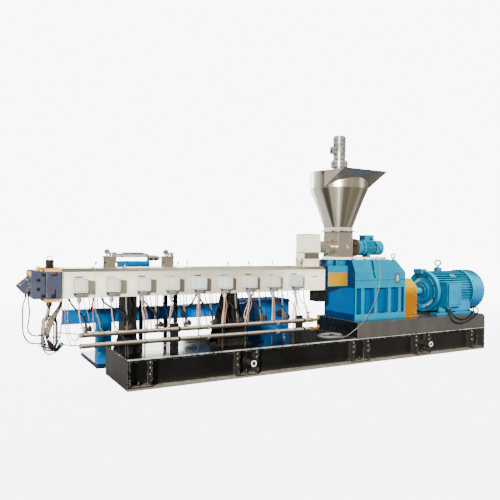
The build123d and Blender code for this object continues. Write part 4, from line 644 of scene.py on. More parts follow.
def round_edges(bm, lines, edge, steps):
    lines = list(dict.fromkeys(lines))
    bmesh.ops.bevel(bm, geom=lines, offset=edge, segments=steps, affect="EDGES", profile=0.5)


def bolt(bm, place, axis, size, washer=True):
    """A hexagon head on its washer; size is half the head's width across corners."""
    axis = Vector(axis).normalized()
    place = Vector(place)
    if washer:
        lathe(bm, place, axis, [(0, 0), (1.5 * size, 0), (1.5 * size, 0.22 * size), (0, 0.22 * size)], 14)
        place = place + axis * 0.22 * size
    lathe(bm, place, axis, [(size, 0), (size, 0.7 * size), (0.84 * size, 0.9 * size), (0, 0.9 * size)], 6)


def screw(bm, place, axis, size):
    profile = [(1, 0), (0.94, 0.3), (0.6, 0.52), (0, 0.6)]
    lathe(bm, place, axis, [(radius * size, along * size) for radius, along in profile], 12)


def settle(piece, slot, finish=None):
    bpy.context.scene.collection.objects.link(piece)
    piece.data.materials.append(LOOKS[finish or slot])
    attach(piece, "root")
    return piece


def mesh_piece(name, bm, slot, finish=None):
    bmesh.ops.recalc_face_normals(bm, faces=bm.faces)
    data = bpy.data.meshes.new(name)
    bm.to_mesh(data)
    bm.free()
    data.shade_smooth()
    data.set_sharp_from_angle(angle=radians(35))
    return settle(bpy.data.objects.new(name, data), slot, finish)


def curve_data(name, ways, radius, fine=3, steps=6):
    """Round wires that follow smooth lines; the ways' points are control points."""
    data = bpy.data.curves.new(name, "CURVE")
    data.dimensions = "3D"
    data.bevel_depth = radius
    data.bevel_resolution = fine
    data.use_fill_caps = True
    for way in ways:
        spline = data.splines.new("NURBS")
        spline.points.add(len(way) - 1)
        for point, place in zip(spline.points, way):
            point.co = (*place, 1)
        spline.order_u = 3
        spline.use_endpoint_u = True
        spline.resolution_u = steps
    return data


def wires(name, ways, radius, slot, finish=None, fine=2, steps=5):
    settle(bpy.data.objects.new(name, curve_data(name, ways, radius, fine, steps)), slot, finish)


def metres(*points):
    return [tuple(value / 1000 for value in point) for point in points]


# Cords


def sleeve(bm, place, way, radius, length):
    """The tapered relief where a cable leaves a gland."""
    lathe(
        bm, place, way,
        [
            (0, -0.004), (1.9 * radius, -0.004), (1.9 * radius, 0.3 * length), (1.6 * radius, 0.34 * length),
            (1.5 * radius, 0.62 * length), (1.12 * radius, length), (0, length),
        ],
        18,
    )


def cord_piece(name, way, radius, slot, replaced, finish=None):
    piece = bpy.data.objects.new(name, curve_data(name, [way], radius, 4, 8))
    settle(piece, slot, finish)
    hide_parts(*replaced)


def feeder_cord():
    """Down from the feeder motor's box, over the gearbox, and in loose turns on the deck."""
    fall = metres(
        (845, -84, 1747), (845, -112, 1747), (846, -140, 1743), (850, -164, 1728), (860, -178, 1702),
        (880, -184, 1664), (915, -184, 1624), (958, -182, 1588), (996, -186, 1552), (1014, -202, 1516),
        (1004, -224, 1482), (968, -240, 1462), (905, -248, 1456), (850, -262, 1458), (802, -292, 1438),
        (782, -328, 1372), (773, -366, 1284), (756, -386, 1180), (738, -392, 1075), (708, -398, 970),
        (655, -408, 870), (590, -422, 786), (515, -442, 703), (432, -470, 638), (350, -504, 584),
        (272, -518, 538), (208, -504, 488), (172, -462, 440), (162, -408, 400), (164, -362, 374),
        (158, -327, 362), (140, -306, 357),
    )
    spin = random.Random(4)
    turns = []
    points_per_turn = 14
    for number in range(4 * points_per_turn + 6):
        angle = radians(-75 - 360 * number / points_per_turn)
        reach = 0.1845 - 0.0140 * number / points_per_turn + spin.uniform(-0.0008, 0.0008)
        reach *= 1 + 0.02 * cos(2 * angle)
        rise = 0.012 * max(0.0, sin(angle + 0.9 + 0.5 * number / points_per_turn)) if number > 3 else 0.0
        turns.append((0.070 + reach * cos(angle), -0.118 + reach * sin(angle), 0.3555 + rise))
    tail = metres(
        (-28, -42, 355.5), (4, -20, 355.5), (45, -20, 355.6), (80, -40, 357), (92, -75, 360), (92, -100, 362),
    )
    replaced = ("feeder_cable", "feeder_cable_coil")
    cord_piece("feeder_supply", fall + turns + tail, 0.005, "cable_grey", replaced)
    bm = bmesh.new()
    sleeve(bm, (0.845, -0.084, 1.747), (0, -1, 0), 0.005, 0.024)
    slab(bm, (0.068, -0.158, 0.350), (0.116, -0.096, 0.378), 0.005, 3)
    turned(bm, (0.092, -0.097, 0.362), ACROSS, (10.5, 0, 10.5, 8, 8, 10, 7, 16, 0, 16), 12)
    mesh_piece("feeder_reliefs", bm, "black_plastic")


def motor_cords():
    """Two supply cables hang from the terminal box over the plinth's face and go in under the motor."""
    ways = {
        "motor_supply_outer": (1.27, metres(
            (2117, -446, 674), (2117, -446, 654), (2116, -458, 633), (2112, -482, 608), (2109, -503, 574),
            (2116, -514, 534), (2144, -519, 497), (2198, -521, 469), (2278, -522, 453), (2375, -521, 452),
            (2480, -517, 474), (2585, -511, 511), (2685, -500, 555), (2772, -478, 598), (2840, -438, 632),
            (2884, -378, 654), (2904, -308, 662), (2907, -250, 651), (2903, -211, 628), (2897, -194, 600),
            (2897, -194, 570),
        )),
        "motor_supply_inner": (1.04, metres(
            (2161, -446, 674), (2161, -446, 654), (2163, -458, 633), (2169, -480, 608), (2184, -500, 577),
            (2214, -512, 548), (2264, -516, 524), (2336, -516, 510), (2418, -515, 510), (2502, -510, 528),
            (2582, -500, 562), (2652, -479, 602), (2722, -437, 638), (2792, -382, 657), (2838, -338, 665),
            (2863, -289, 657), (2868, -248, 637), (2862, -224, 600), (2862, -224, 570),
        )),
    }
    bm = bmesh.new()
    for name, (length, way) in ways.items():
        cord_piece(name, way, 0.011, "cable_black", ("motor_cable",))
        sleeve(bm, way[0], DOWN, 0.011, 0.022)
        turned(bm, way[-1], UP, (24, 0, 24, 6, 17, 8, 15, 22, 0, 22), 18)
    mesh_piece("motor_reliefs", bm, "black_plastic")


def hank_way():
    """The plug's long lead: down, five windings of unlike length, then on to the plug."""
    way = metres(
        (-3727, -130, 930), (-3727, -131, 902), (-3727, -146, 872), (-3744, -164, 842), (-3768, -168, 806),
    )
    step = 0
    for half, high, low, slide in (
        (0.064, 0.812, 0.462, 0.000), (0.074, 0.828, 0.452, 0.004), (0.056, 0.792, 0.484, -0.010),
        (0.078, 0.834, 0.448, 0.000), (0.060, 0.806, 0.470, 0.012),
    ):
        middle = -3.721 + slide
        centre = (high + low) / 2
        ring = [(middle - half, centre + 0.07), (middle - half, centre - 0.07)]
        for angle in (180, 225, 270, 315, 360):
            ring.append((middle + half * cos(radians(angle)), low + half + half * sin(radians(angle))))
        ring += [(middle + half, centre - 0.07), (middle + half, centre + 0.07)]
        for angle in (0, 45, 90, 135, 180):
            ring.append((middle + half * cos(radians(angle)), high - half + half * sin(radians(angle))))
        for x, z in ring:
            way.append((x, -0.169 + 0.0152 * step / 14, z))
            step += 1
    deep = way[-1][1] + 0.003
    return way + [
        (-3.774, deep, 0.620), (-3.781, deep, 0.520), (-3.772, deep, 0.452), (-3.740, deep, 0.420),
        (-3.700, deep, 0.404), (-3.664, deep, 0.420), (-3.650, deep, 0.436),
    ]


def die_cords():
    """Two heater leads into the hank, and the sensor plug's long lead, wound up and tied."""
    outer = metres(
        (-3960, -130, 1060.6), (-3960, -130, 1030.6), (-3972, -130, 1002), (-3988, -130, 946),
        (-3990, -130, 872), (-3986, -130, 792), (-3988, -130, 712), (-3976, -130, 638), (-3944, -130, 578),
        (-3900, -130, 545), (-3839.3, -130, 540), (-3800, -130, 540),
    )
    inner = metres(
        (-3934, -130, 1076.6), (-3934, -130, 1046.6), (-3936, -130, 1012), (-3928, -130, 950),
        (-3920, -130, 880), (-3926, -130, 806), (-3938, -130, 738), (-3932, -130, 680), (-3905, -130, 642),
        (-3872, -130, 626), (-3839.3, -130, 624), (-3798, -130, 624),
    )
    for name, way, length in (("die_lead_outer", outer, 0.65), ("die_lead_inner", inner, 0.55)):
        cord_piece(name, way, 0.007, "cable_grey", ("die_leads",), finish="cable_black")
    way = hank_way()
    bm = bmesh.new()
    along = Vector((0.66, 0, 0.75))
    profile = (
        0, 0, 10, 0, 14, 18, 19, 24, 21, 44, 18, 47, 18, 56, 22, 59, 23.5, 104, 20, 109, 20, 124,
        14, 127, 0, 127,
    )
    turned(bm, Vector(way[-1]) - along * 0.010, along, profile)
    plug = mesh_piece("lead_connector", bm, "plug_grey", "cyan_plug")
    cord_piece(
        "plug_lead", way, 0.007, "cable_grey", ("die_leads", "die_hank"),
    )
    bm = bmesh.new()
    for start in (outer[0], inner[0], way[0]):
        sleeve(bm, start, DOWN, 0.007, 0.030)
    mesh_piece("die_reliefs", bm, "black_plastic")


feeder_cord()
motor_cords()
die_cords()

# Details of the machine

trees = {}


def touch(name, start, way):
    """Where a line from start first meets a CAD node, and the surface's direction there."""
    if name not in trees:
        data = nodes[name].data
        trees[name] = BVHTree.FromPolygons(
            [vert.co.copy() for vert in data.vertices], [face.vertices[:] for face in data.polygons],
        )
    way = Vector(way).normalized()
    place, normal = trees[name].ray_cast(Vector(start), way)[:2]
    if place is not None and normal.dot(way) > 0:
        normal = -normal
    return place, normal


def bolts_on(bm, name, starts, way, size, head=bolt):
    for start in starts:
        place, normal = touch(name, start, way)
        if place is not None:
            head(bm, place, normal, size)


def ring_of(centre, across, up, radius, count, start=0.0):
    across, up = Vector(across), Vector(up)
    return [
        Vector(centre) + across * (radius * cos(start + 2 * pi * n / count))
        + up * (radius * sin(start + 2 * pi * n / count))
        for n in range(count)
    ]


def base_details():
    """Stiffener bolts, anchor nuts, foot bolts and welds of the base and its pedestals."""
    bm = bmesh.new()
    for station, side, shift in product(STATIONS, SIDES, (-0.140, 0.125)):
        x = station + shift
        if abs(x + 2.96) < 0.01:
            continue
        for z in (0.165, 0.238, 0.298):
            bolt(bm, (x, side * 0.446, z), (-1, 0, 0), 0.0085)
            if x + 0.015 < 2.94:
                bolt(bm, (x + 0.015, side * 0.446, z), ALONG, 0.0085)
    mesh_piece("stiffener_bolts", bm, "base_paint", "zinc")

    bm = bmesh.new()
    for station, side in product(STATIONS, SIDES):
        y = side * 0.4105
        beam = "front_beam" if side < 0 else "back_beam"
        place, _ = touch(beam, (station + 0.03, y, 0.2), DOWN)
        if place is not None:
            turned(bm, (station, y, place.z), UP, (26, 0, 26, 4, 0, 4), 18)
            bolt(bm, (station, y, place.z + 0.004), UP, 0.019, washer=False)
            turned(bm, (station, y, place.z + 0.02), UP, (10, 0, 10, 22, 8, 25, 0, 25), 14)
    mesh_piece("anchor_nuts", bm, "base_paint", "dark_steel")

    bm = bmesh.new()
    for name in ("discharge_pedestal", "middle_pedestal"):
        low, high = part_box(name)
        places = product((low[0] + 0.035, high[0] - 0.035), (low[1] + 0.03, 0, high[1] - 0.03), (0.55,))
        bolts_on(bm, name, places, DOWN, 0.013)
    places = product((-2.380, -2.320, -0.605, -0.545), (-0.5,), (0.585, 0.470, 0.400))
    bolts_on(bm, "tube_posts", places, ACROSS, 0.008)
    mesh_piece("foot_bolts", bm, "pedestal_paint", "dark_steel")

    runs = [[(x, side * 0.471, 0.351) for x in (0.270, 1.6, 2.960)] for side in SIDES]
    runs.append([(0.269, y, 0.352) for y in (-0.470, 0, 0.470)])
    for station, side, shift in product(STATIONS, SIDES, (-0.1405, 0.1405)):
        if abs(station + shift) < 2.95:
            runs.append([(station + shift, side * 0.352, z) for z in (0.022, 0.18, 0.316)])
    wires("base_welds", runs, 0.004, "base_paint", "dark_steel", 1, 2)


def cover_details():
    """Label slots, screws and the thermocouple probes on the covers."""
    bm = bmesh.new()
    for number, x in enumerate(BOXES):
        tall = 0.006 if number % 2 else 0.013
        slab(bm, (x - 0.036, -0.2222, 1.2405), (x + 0.050, -0.2190, 1.2405 + tall), 0.001, 1)
    slab(bm, (-0.330, -0.2222, 1.196), (-0.240, -0.2190, 1.208), 0.001, 1)
    mesh_piece("cover_slots", bm, "cover_steel", "black_plastic")

    bm = bmesh.new()
    for start, end in zip(JOINTS, JOINTS[1:]):
        for side, x in product(SIDES, (start + 0.022, end - 0.022)):
            for z in (1.036, 1.284):
                screw(bm, (x, side * COVER_SIDE, z), (0, side, 0), 0.0055)
            screw(bm, (x, side * 0.150, COVER_TOP), UP, 0.0055)
    mesh_piece("cover_screws", bm, "cover_steel", "zinc")

    stems, caps = bmesh.new(), bmesh.new()
    leads = []
    for x, lean in (
        (-3.275, 0.5), (-2.925, 0.3), (-2.300, 0.5), (-2.155, 0.05), (-1.570, -0.55), (-1.265, -0.55),
        (-0.915, -0.4), (-0.530, 0.5),
    ):
        way = Vector((lean, -0.12, 0.85)).normalized()
        foot = Vector((x, -0.160, 1.339))
        seat = foot + Vector((0, 0, 0.010))
        turned(stems, foot, UP, (14, 0, 14, 4, 10, 5, 10, 14, 0, 14), 6)
        turned(stems, seat, way, (3.5, 0, 3.5, 50, 0, 50), 12)
        turned(caps, seat + way * 0.046, way, (0, 0, 6, 0, 8.5, 4, 8.5, 22, 6, 26, 0, 26), 14)
        tip = seat + way * 0.068
        over = (
            (-0.05, 1.346), (0.10, 1.3435), (0.19, 1.341), (0.2225, 1.300), (0.224, 1.15), (0.222, 1.02),
            (0.205, 1.03),
        )
        lead = [tip, tip + way * 0.018, tip + Vector((0.02, 0.05, -0.005))]
        leads.append(lead + [(x + 0.03, y, z) for y, z in over])
    mesh_piece("probe_stems", stems, "cover_steel", "zinc")
    mesh_piece("probe_caps", caps, "black_plastic")
    wires("probe_leads", leads, 0.0022, "cable_grey")


def box_details():
    """Raised lids, screws, ribbed plug hoods and glands of the nine terminal boxes."""
    lids, metal, hoods, black = [bmesh.new() for _ in range(4)]
    neck = (19.5, 0, 19.5, 6, 18.5, 7, 18.5, 12, 19.5, 13, 19.5, 19, 15, 22, 0, 22)
    nut = (30, 0, 30, 7, 24, 9, 28, 11, 28, 18, 22, 20, 25, 22, 25, 30, 17, 34, 15, 50, 0, 50)
    for x in BOXES:
        slab(lids, (x - 0.064, -0.3435, 1.097), (x + 0.064, -0.338, 1.225), 0.005, 3)
        slab(black, (x - 0.0665, -0.3408, 1.0945), (x + 0.0665, -0.3385, 1.2275), 0.001, 1)
        slab(black, (x - 0.0735, -0.3195, 1.0875), (x + 0.0735, -0.3165, 1.2345), 0.001, 1)
        for across, up in product((-0.06895, 0.06895), repeat=2):
            screw(metal, (x + across, -0.340, BOX_Z + up), (0, -1, 0), 0.0042)
        for number, z in enumerate((1.081, 1.066, 1.051, 1.036)):
            half = 0.055 - 0.0035 * number
            deep = 0.029 - 0.002 * number
            slab(hoods, (x - half, HOOD_Y - deep, z - 0.0035), (x + half, HOOD_Y + deep, z + 0.0035))
        for cheek in (x - 0.054, x + 0.054):
            slab(metal, (cheek - 0.003, -0.281, 1.046), (cheek + 0.003, -0.257, 1.092), 0.002, 1)
        turned(black, (x - 0.055, -0.300, 1.087), DOWN, (14, 0, 14, 12, 11, 14, 11, 26, 7, 30, 0, 30), 14)
        turned(hoods, (x, HOOD_Y, 1.029), DOWN, neck, 16)
        turned(hoods, (x, HOOD_Y, 1.014), DOWN, nut, 16)
    mesh_piece("box_lids", lids, "box_grey")
    mesh_piece("box_metal", metal, "plug_grey", "zinc")
    mesh_piece("hood_ribs", hoods, "plug_grey")
    mesh_piece("box_seals", black, "black_plastic")


def valve_x(number):
    """The cooling valve of each zone stands beside its box, the first one closer."""
    return BOXES[number] + (0.060 if number == 0 else 0.165)


def harness():
    """Thermocouple wires, heater pairs and cooling hoses between the barrel and the water tubes."""
    spin = random.Random(11)
    salmon, beige, grey, black = [], [], [], []
    lean = (None, None, 0.030, -0.038, -0.005, -0.030, -0.060, -0.015, -0.034)
    back = BEHIND_TUBE - 0.001
    for number, x in enumerate(BOXES):
        if number > 1:
            for slide, group in ((0.020, salmon), (0.032, salmon), (-0.014, beige)):
                end = x + lean[number] + slide + spin.uniform(-0.006, 0.010)
                sway = spin.uniform(-0.012, 0.020)
                group.append([
                    (x + slide * 0.4, HOOD_Y, 1.000), (x + slide * 0.5, HOOD_Y, 0.955),
                    (x + slide + sway, -0.272, 0.880), (end + sway, -0.279, 0.770), (end, -0.284, 0.690),
                    (end, BEHIND_TUBE, 0.650), (end + 0.012, back, 0.631), (end + 0.050, back, TUBE_HIGH),
                    (end + 0.110, back, TUBE_HIGH),
                ])
        for start in (x + 0.176, x + 0.187):
            end = start + spin.uniform(-0.030, 0.020)
            if start < -2.95:
                end = start + 0.04
                low = [(end + 0.03, -0.285, 0.640), (end + 0.10, -0.284, 0.626), (end + 0.18, -0.284, 0.626)]
            else:
                low = [(end, BEHIND_TUBE, 0.650), (end - 0.012, back, TUBE_HIGH), (end - 0.08, back, 0.626)]
            grey.append([
                (start, -0.205, 1.040), (start, -0.206, 0.970), (start - 0.006, -0.232, 0.880),
                (end, -0.275, 0.760), (end, -0.284, 0.690), *low,
            ])
        if number < 8:
            end = valve_x(number)
            first = x + (-0.092 if number in (0, 1) else 0.018)
            black.append([
                (first, -0.170, 1.050), (first + 0.004, -0.176, 1.000), (first + 0.030, -0.190, 0.950),
                (x + (first + end - 2 * x) * 0.55, -0.225, 0.888), (end - 0.020, -0.262, 0.838),
                (end, -0.300, 0.790), (end, TUBE_Y, 0.757), (end, TUBE_Y, 0.728),
            ])
    thin = []
    for x, slide in product(BOXES, (-0.120, -0.050, 0.075, 0.140)):
        start = x + slide + spin.uniform(-0.015, 0.015)
        end = start + spin.uniform(-0.060, 0.075)
        if end < -3.40 or start > -0.50:
            continue
        sway = spin.uniform(-0.020, 0.020)
        thin.append([
            (start, -0.150, 1.040), (start, -0.158, 0.985), (start + sway, -0.190, 0.900),
            (end - sway, -0.236, 0.800), (end, -0.268, 0.715), (end, -0.285, 0.660),
            (end + 0.010, back, 0.630), (end + 0.060, back, 0.620),
        ])
    wires("thin_leads", thin, 0.0058, "cable_black")
    wires("heater_pairs", salmon, 0.0042, "cable_grey", "salmon_sheath")
    wires("beige_leads", beige, 0.0045, "cable_grey", "beige_sheath")
    wires("probe_pairs", grey, 0.0038, "cable_grey")
    wires("cooling_hoses", black, 0.0100, "cable_black", fine=3)

    loose = [
        metres(
            (-3575, -200, 1040), (-3575, -206, 960), (-3583, -240, 840), (-3575, -270, 700),
            (-3548, -284, 575), (-3506, -287, 508), (-3468, -287, 548), (-3450, -286, 600),
            (-3425, -286.5, 626), (-3340, -286.5, 628),
        ),
        metres(
            (-3545, -200, 1040), (-3545, -206, 960), (-3556, -240, 820), (-3548, -268, 700),
            (-3525, -283, 600), (-3490, -287, 560), (-3455, -287, 596), (-3425, -285.5, 632),
            (-3330, -285.5, 636),
        ),
        metres(
            (-3380, -200, 1040), (-3378, -206, 950), (-3340, -245, 850), (-3330, -275, 730),
            (-3318, -286, 660), (-3285, -287.5, 632), (-3200, -287.5, 624),
        ),
    ]
    wires("hanging_leads", loose, 0.0042, "cable_grey")
    warm = [
        metres(
            (-3606, -160, 1040), (-3602, -166, 960), (-3597, -176, 860), (-3606, -190, 760),
            (-3614, -186, 660), (-3622, -164, 580), (-3645, -135, 530),
        ),
        metres(
            (-3650, -135, 640), (-3610, -190, 650), (-3540, -262, 646), (-3470, -288, 640),
            (-3420, -288, 630), (-3340, -288, 620),
        ),
        metres(
            (-3650, -135, 540), (-3610, -190, 528), (-3540, -262, 520), (-3470, -288, 516),
            (-3420, -288, 512), (-3340, -288, 511),
        ),
        metres(
            (-3284, -205, 1040), (-3284, -208, 960), (-3285, -240, 860), (-3290, -275, 740),
            (-3286, -286.5, 670), (-3262, -288.5, 636), (-3180, -288.5, 632),
        ),
    ]
    wires("warm_leads", warm, 0.0060, "cable_grey", "salmon_sheath")
    water_valves([-3.41, -3.30, -3.19, -3.05] + [x + bend for x, bend in zip(BOXES[2:], lean[2:])])


def water_valves(tie_places):
    """A valve with its coil on the upper tube at each zone, and the ties that hold the wires to the tubes."""
    valves, coils = bmesh.new(), bmesh.new()
    body = (20, 0, 20, 12, 14, 16, 14, 30, 19, 32, 19, 52, 12, 56, 12, 90, 13.5, 92, 13.5, 104, 0, 104)
    for number in range(8):
        x = valve_x(number)
        turned(valves, (x, TUBE_Y, TUBE_HIGH + 0.020), UP, body, 14)
        slab(valves, (x - 0.030, TUBE_Y - 0.014, 0.672), (x + 0.030, TUBE_Y + 0.014, 0.696), 0.004)
        slab(coils, (x + 0.022, TUBE_Y - 0.022, 0.664), (x + 0.066, TUBE_Y + 0.022, 0.712), 0.006, 3)
        slab(coils, (x + 0.032, TUBE_Y - 0.014, 0.712), (x + 0.056, TUBE_Y + 0.014, 0.728))
    mesh_piece("water_valves", valves, "fitting_brass", "cast_brown")
    mesh_piece("valve_coils", coils, "black_plastic")

    loop = (
        (-0.346, 0.0), (-0.347, 0.020), (-0.330, 0.029), (-0.300, 0.029), (-0.274, 0.020), (-0.271, 0.0),
        (-0.274, -0.020), (-0.300, -0.029), (-0.330, -0.029), (-0.347, -0.020), (-0.346, 0.0),
    )
    ties = []
    for x, height in product(tie_places, (TUBE_HIGH, TUBE_LOW)):
        if height == TUBE_HIGH or x > -2.95:
            ties.append([(x, y, height + z) for y, z in loop])
    wires("cable_ties", ties, 0.0024, "cable_black", fine=1)


def die_details():
    """Strips, bolts, the dark label, latch and head bolts of the die."""
    bm = bmesh.new()
    slab(bm, (-3.722, -0.2275, 1.262), (-3.664, -0.2250, 1.300), 0.001, 1)
    slab(bm, (-3.606, -0.2215, 1.022), (-3.598, -0.2150, 1.300), 0.001, 1)
    mesh_piece("die_marks", bm, "black_plastic")
    bm = bmesh.new()
    slab(bm, (-3.722, -0.2290, 1.276), (-3.676, -0.2260, 1.302), 0.001, 1)
    mesh_piece("die_label", bm, "die_slate", "label_red")
    bm = bmesh.new()
    slab(bm, (-3.727, -0.2300, 1.030), (-3.674, -0.2255, 1.068))
    slab(bm, (-3.690, -0.2340, 1.046), (-3.678, -0.2290, 1.120), 0.002)
    mesh_piece("die_latch", bm, "die_slate", "dark_steel")

    bm = bmesh.new()
    places = ((-3.847, 1.219), (-3.847, 1.124), (-3.800, 1.275), (-3.800, 1.050))
    for side in SIDES:
        bolts_on(bm, "die_body", [(x, side * 0.4, z) for x, z in places], (0, -side, 0), 0.012)
    mesh_piece("die_bolts", bm, "die_slate", "dark_steel")
    bm = bmesh.new()
    places = ((-3.929, 1.145), (-3.909, 1.164), (-3.950, 1.118), (-3.934, 1.180))
    for side in SIDES:
        bolts_on(bm, "die_head", [(x, side * 0.4, z) for x, z in places], (0, -side, 0), 0.0065)
    for y, step in product((-0.14, -0.07, 0.0, 0.07, 0.14), (0.22, 0.80)):
        spot = Vector((-3.917, y, 1.242)).lerp(Vector((-4.034, y, 1.143)), step)
        bolts_on(bm, "die_head", [spot + Vector((-0.10, 0, 0.12))], (0.64, 0, -0.77), 0.0065)
    mesh_piece("head_bolts", bm, "die_slate", "zinc")

    bm = bmesh.new()
    slab(bm, (-3.9215, -0.196, 1.262), (-3.9150, 0.196, 1.308))
    slab(bm, (-3.640, -0.216, 0.992), (-3.600, -0.180, 1.018))
    mesh_piece("board_strips", bm, "die_tan")
    bm = bmesh.new()
    slab(bm, (-3.9100, -0.202, 1.300), (-3.786, 0.202, 1.316), 0.004)
    mesh_piece("die_cap", bm, "die_slate")
    bm = bmesh.new()
    slab(bm, (-3.758, -0.1705, 1.366), (-3.694, -0.1675, 1.416), 0.002, 1)
    turned(bm, (-3.726, -0.1700, 1.391), (0, -1, 0), (18, 0, 18, 3, 13, 4, 0, 3))
    slab(bm, (-3.770, -0.172, 1.336), (-3.682, -0.088, 1.344), 0.002, 1)
    mesh_piece("sensor_face", bm, "plug_grey", "dark_steel")


def hank_details():
    """The ties of the hank below the die, and the strands that run through it."""
    ties = []
    for x, z in ((-3.789, 0.640), (-3.656, 0.600), (-3.789, 0.520)):
        ties.append([
            (x + 0.030 * across, -0.131 + 0.048 * deep, z + 0.006 * across)
            for across, deep in (
                (-1, 0.0), (-1, 0.9), (-0.4, 1.15), (0.4, 1.15), (1, 0.9), (1, 0.0), (1, -0.9), (0.4, -1.15),
                (-0.4, -1.15), (-1, -0.9), (-1, 0.0),
            )
        ])
    hang = metres(
        (-3604, -130, 1030), (-3612, -130, 950), (-3640, -130, 880), (-3655, -178, 830), (-3662, -186, 790),
        (-3660, -150, 764), (-3648, -90, 780), (-3640, -80, 830), (-3634, -110, 884), (-3612, -126, 952),
        (-3598, -130, 1030),
    )
    wires("hank_ties", ties + [hang], 0.0042, "cable_black")
    pale, dark = [], []
    for n in range(4):
        pale.append(metres(
            (-3741 + 9 * n, -130, 935), (-3741 + 9 * n, -132, 890), (-3778 + 12 * n, -152, 800),
            (-3790 + 15 * n, -184, 680), (-3780 + 20 * n, -189, 580), (-3742 + 20 * n, -182, 500),
            (-3728 + 20 * n, -158, 470),
        ))
    for n in range(7):
        strand = metres(
            (-3590 - 4 * n, -140 - 8 * n, 1035), (-3592 - 4 * n, -142 - 8 * n, 980),
            (-3620 - 6 * n, -180, 900), (-3672 - 9 * n, -192, 820), (-3716 - 9 * n, -198, 710),
            (-3744 - 4 * n, -199, 610), (-3748 + 9 * n, -197, 530), (-3712 + 11 * n, -190, 475),
            (-3690 + 11 * n, -158, 455),
        )
        (pale if n % 2 else dark).append(strand)
    wires("hank_strands", pale, 0.0048, "cable_grey", "beige_sheath")
    wires("hank_dark_strands", dark, 0.0060, "cable_black")


def vent_details():
    """Flange bolts, sight fittings and clamps on the two vents, and the ring on each gauge."""
    bm, glass, dark = [bmesh.new() for _ in range(3)]
    fitting = (44, 0, 44, 10, 37, 12, 37, 30, 46, 32, 46, 45.5, 30, 46.2, 30, 40, 0, 40)
    for x in VENTS:
        for across, y in product((-0.043, 0.043), (-0.128, -0.062, 0.004)):
            bolt(bm, (x + across, y, 1.470), UP, 0.007)
        centre = Vector((x + 0.034, -0.061, 1.470))
        turned(bm, centre, UP, fitting, 28)
        for place in ring_of(centre + Vector((0, 0, 0.0455)), ALONG, ACROSS, 0.0385, 6, 0.3):
            bolt(dark, place, UP, 0.0052, washer=False)
        turned(glass, centre + Vector((0, 0, 0.038)), UP, (29, 0, 29, 3, 0, 5), 24)
        slab(bm, (x - 0.058, -0.1405, 1.338), (x + 0.058, 0.018, 1.346), 0.002, 1)
        for side in SIDES:
            clamp = (x + side * 0.051, -0.100, 1.400)
            turned(dark, clamp, (side, 0, 0), (10, 0, 10, 6, 6, 8, 6, 22, 0, 22), 12)
        rim = Vector((x - 0.038, -0.101, 1.524)) + Vector((0, -0.0165, 0))
        turned(bm, rim, (0, -1, 0), (27.5, -4, 28.5, 0, 25.5, 3, 23.5, 0.5, 0, 0.5), 26)
    mesh_piece("vent_fittings", bm, "hopper_steel", "zinc")
    mesh_piece("vent_glass", glass, "clear", "water_glass")
    mesh_piece("vent_dark", dark, "black_plastic", "dark_steel")


def vacuum_details():
    """Pipes over the glass tank, its end flange and the bolts of the table behind the barrel."""
    arc = metres(
        (-2700, 740, 1434), (-2702, 740, 1470), (-2690, 740, 1492), (-2660, 740, 1499.5), (-2560, 740, 1500),
        (-2450, 740, 1500), (-2400, 740, 1496), (-2368, 740, 1478), (-2356, 740, 1450), (-2352, 740, 1410),
        (-2352, 740, 1322),
    )
    wires("tank_pipe", [arc], 0.0085, "clear", "cyan_plug", fine=4, steps=8)
    bm = bmesh.new()
    for x, radius, way in ((-2.785, 0.055, -1), (-2.337, 0.055, 1), (-2.26, 0.030, 1)):
        for place in ring_of((x, TANK_Y, TANK_Z), ACROSS, UP, radius, 6):
            bolt(bm, place, (way, 0, 0), 0.007, washer=False)
    outlet = (40, 0, 40, 12, 24, 14, 24, 50, 40, 52, 40, 66, 20, 68, 20, 120, 30, 122, 30, 150, 0, 150)
    turned(bm, (-2.337, TANK_Y, TANK_Z), ALONG, outlet, 22)
    mesh_piece("tank_fittings", bm, "tube_steel", "zinc")
    bm = bmesh.new()
    low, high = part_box("vacuum_table")
    places = product((low[0] + 0.02, high[0] - 0.02), (low[1] + 0.02, high[1] - 0.02), (0.2,))
    bolts_on(bm, "vacuum_table", places, DOWN, 0.009)
    places = product((-2.640, -2.480), (TANK_Y - 0.085, TANK_Y + 0.085), (1.5,))
    bolts_on(bm, "vacuum_table", places, DOWN, 0.009)
    mesh_piece("table_bolts", bm, "navy_paint", "zinc")


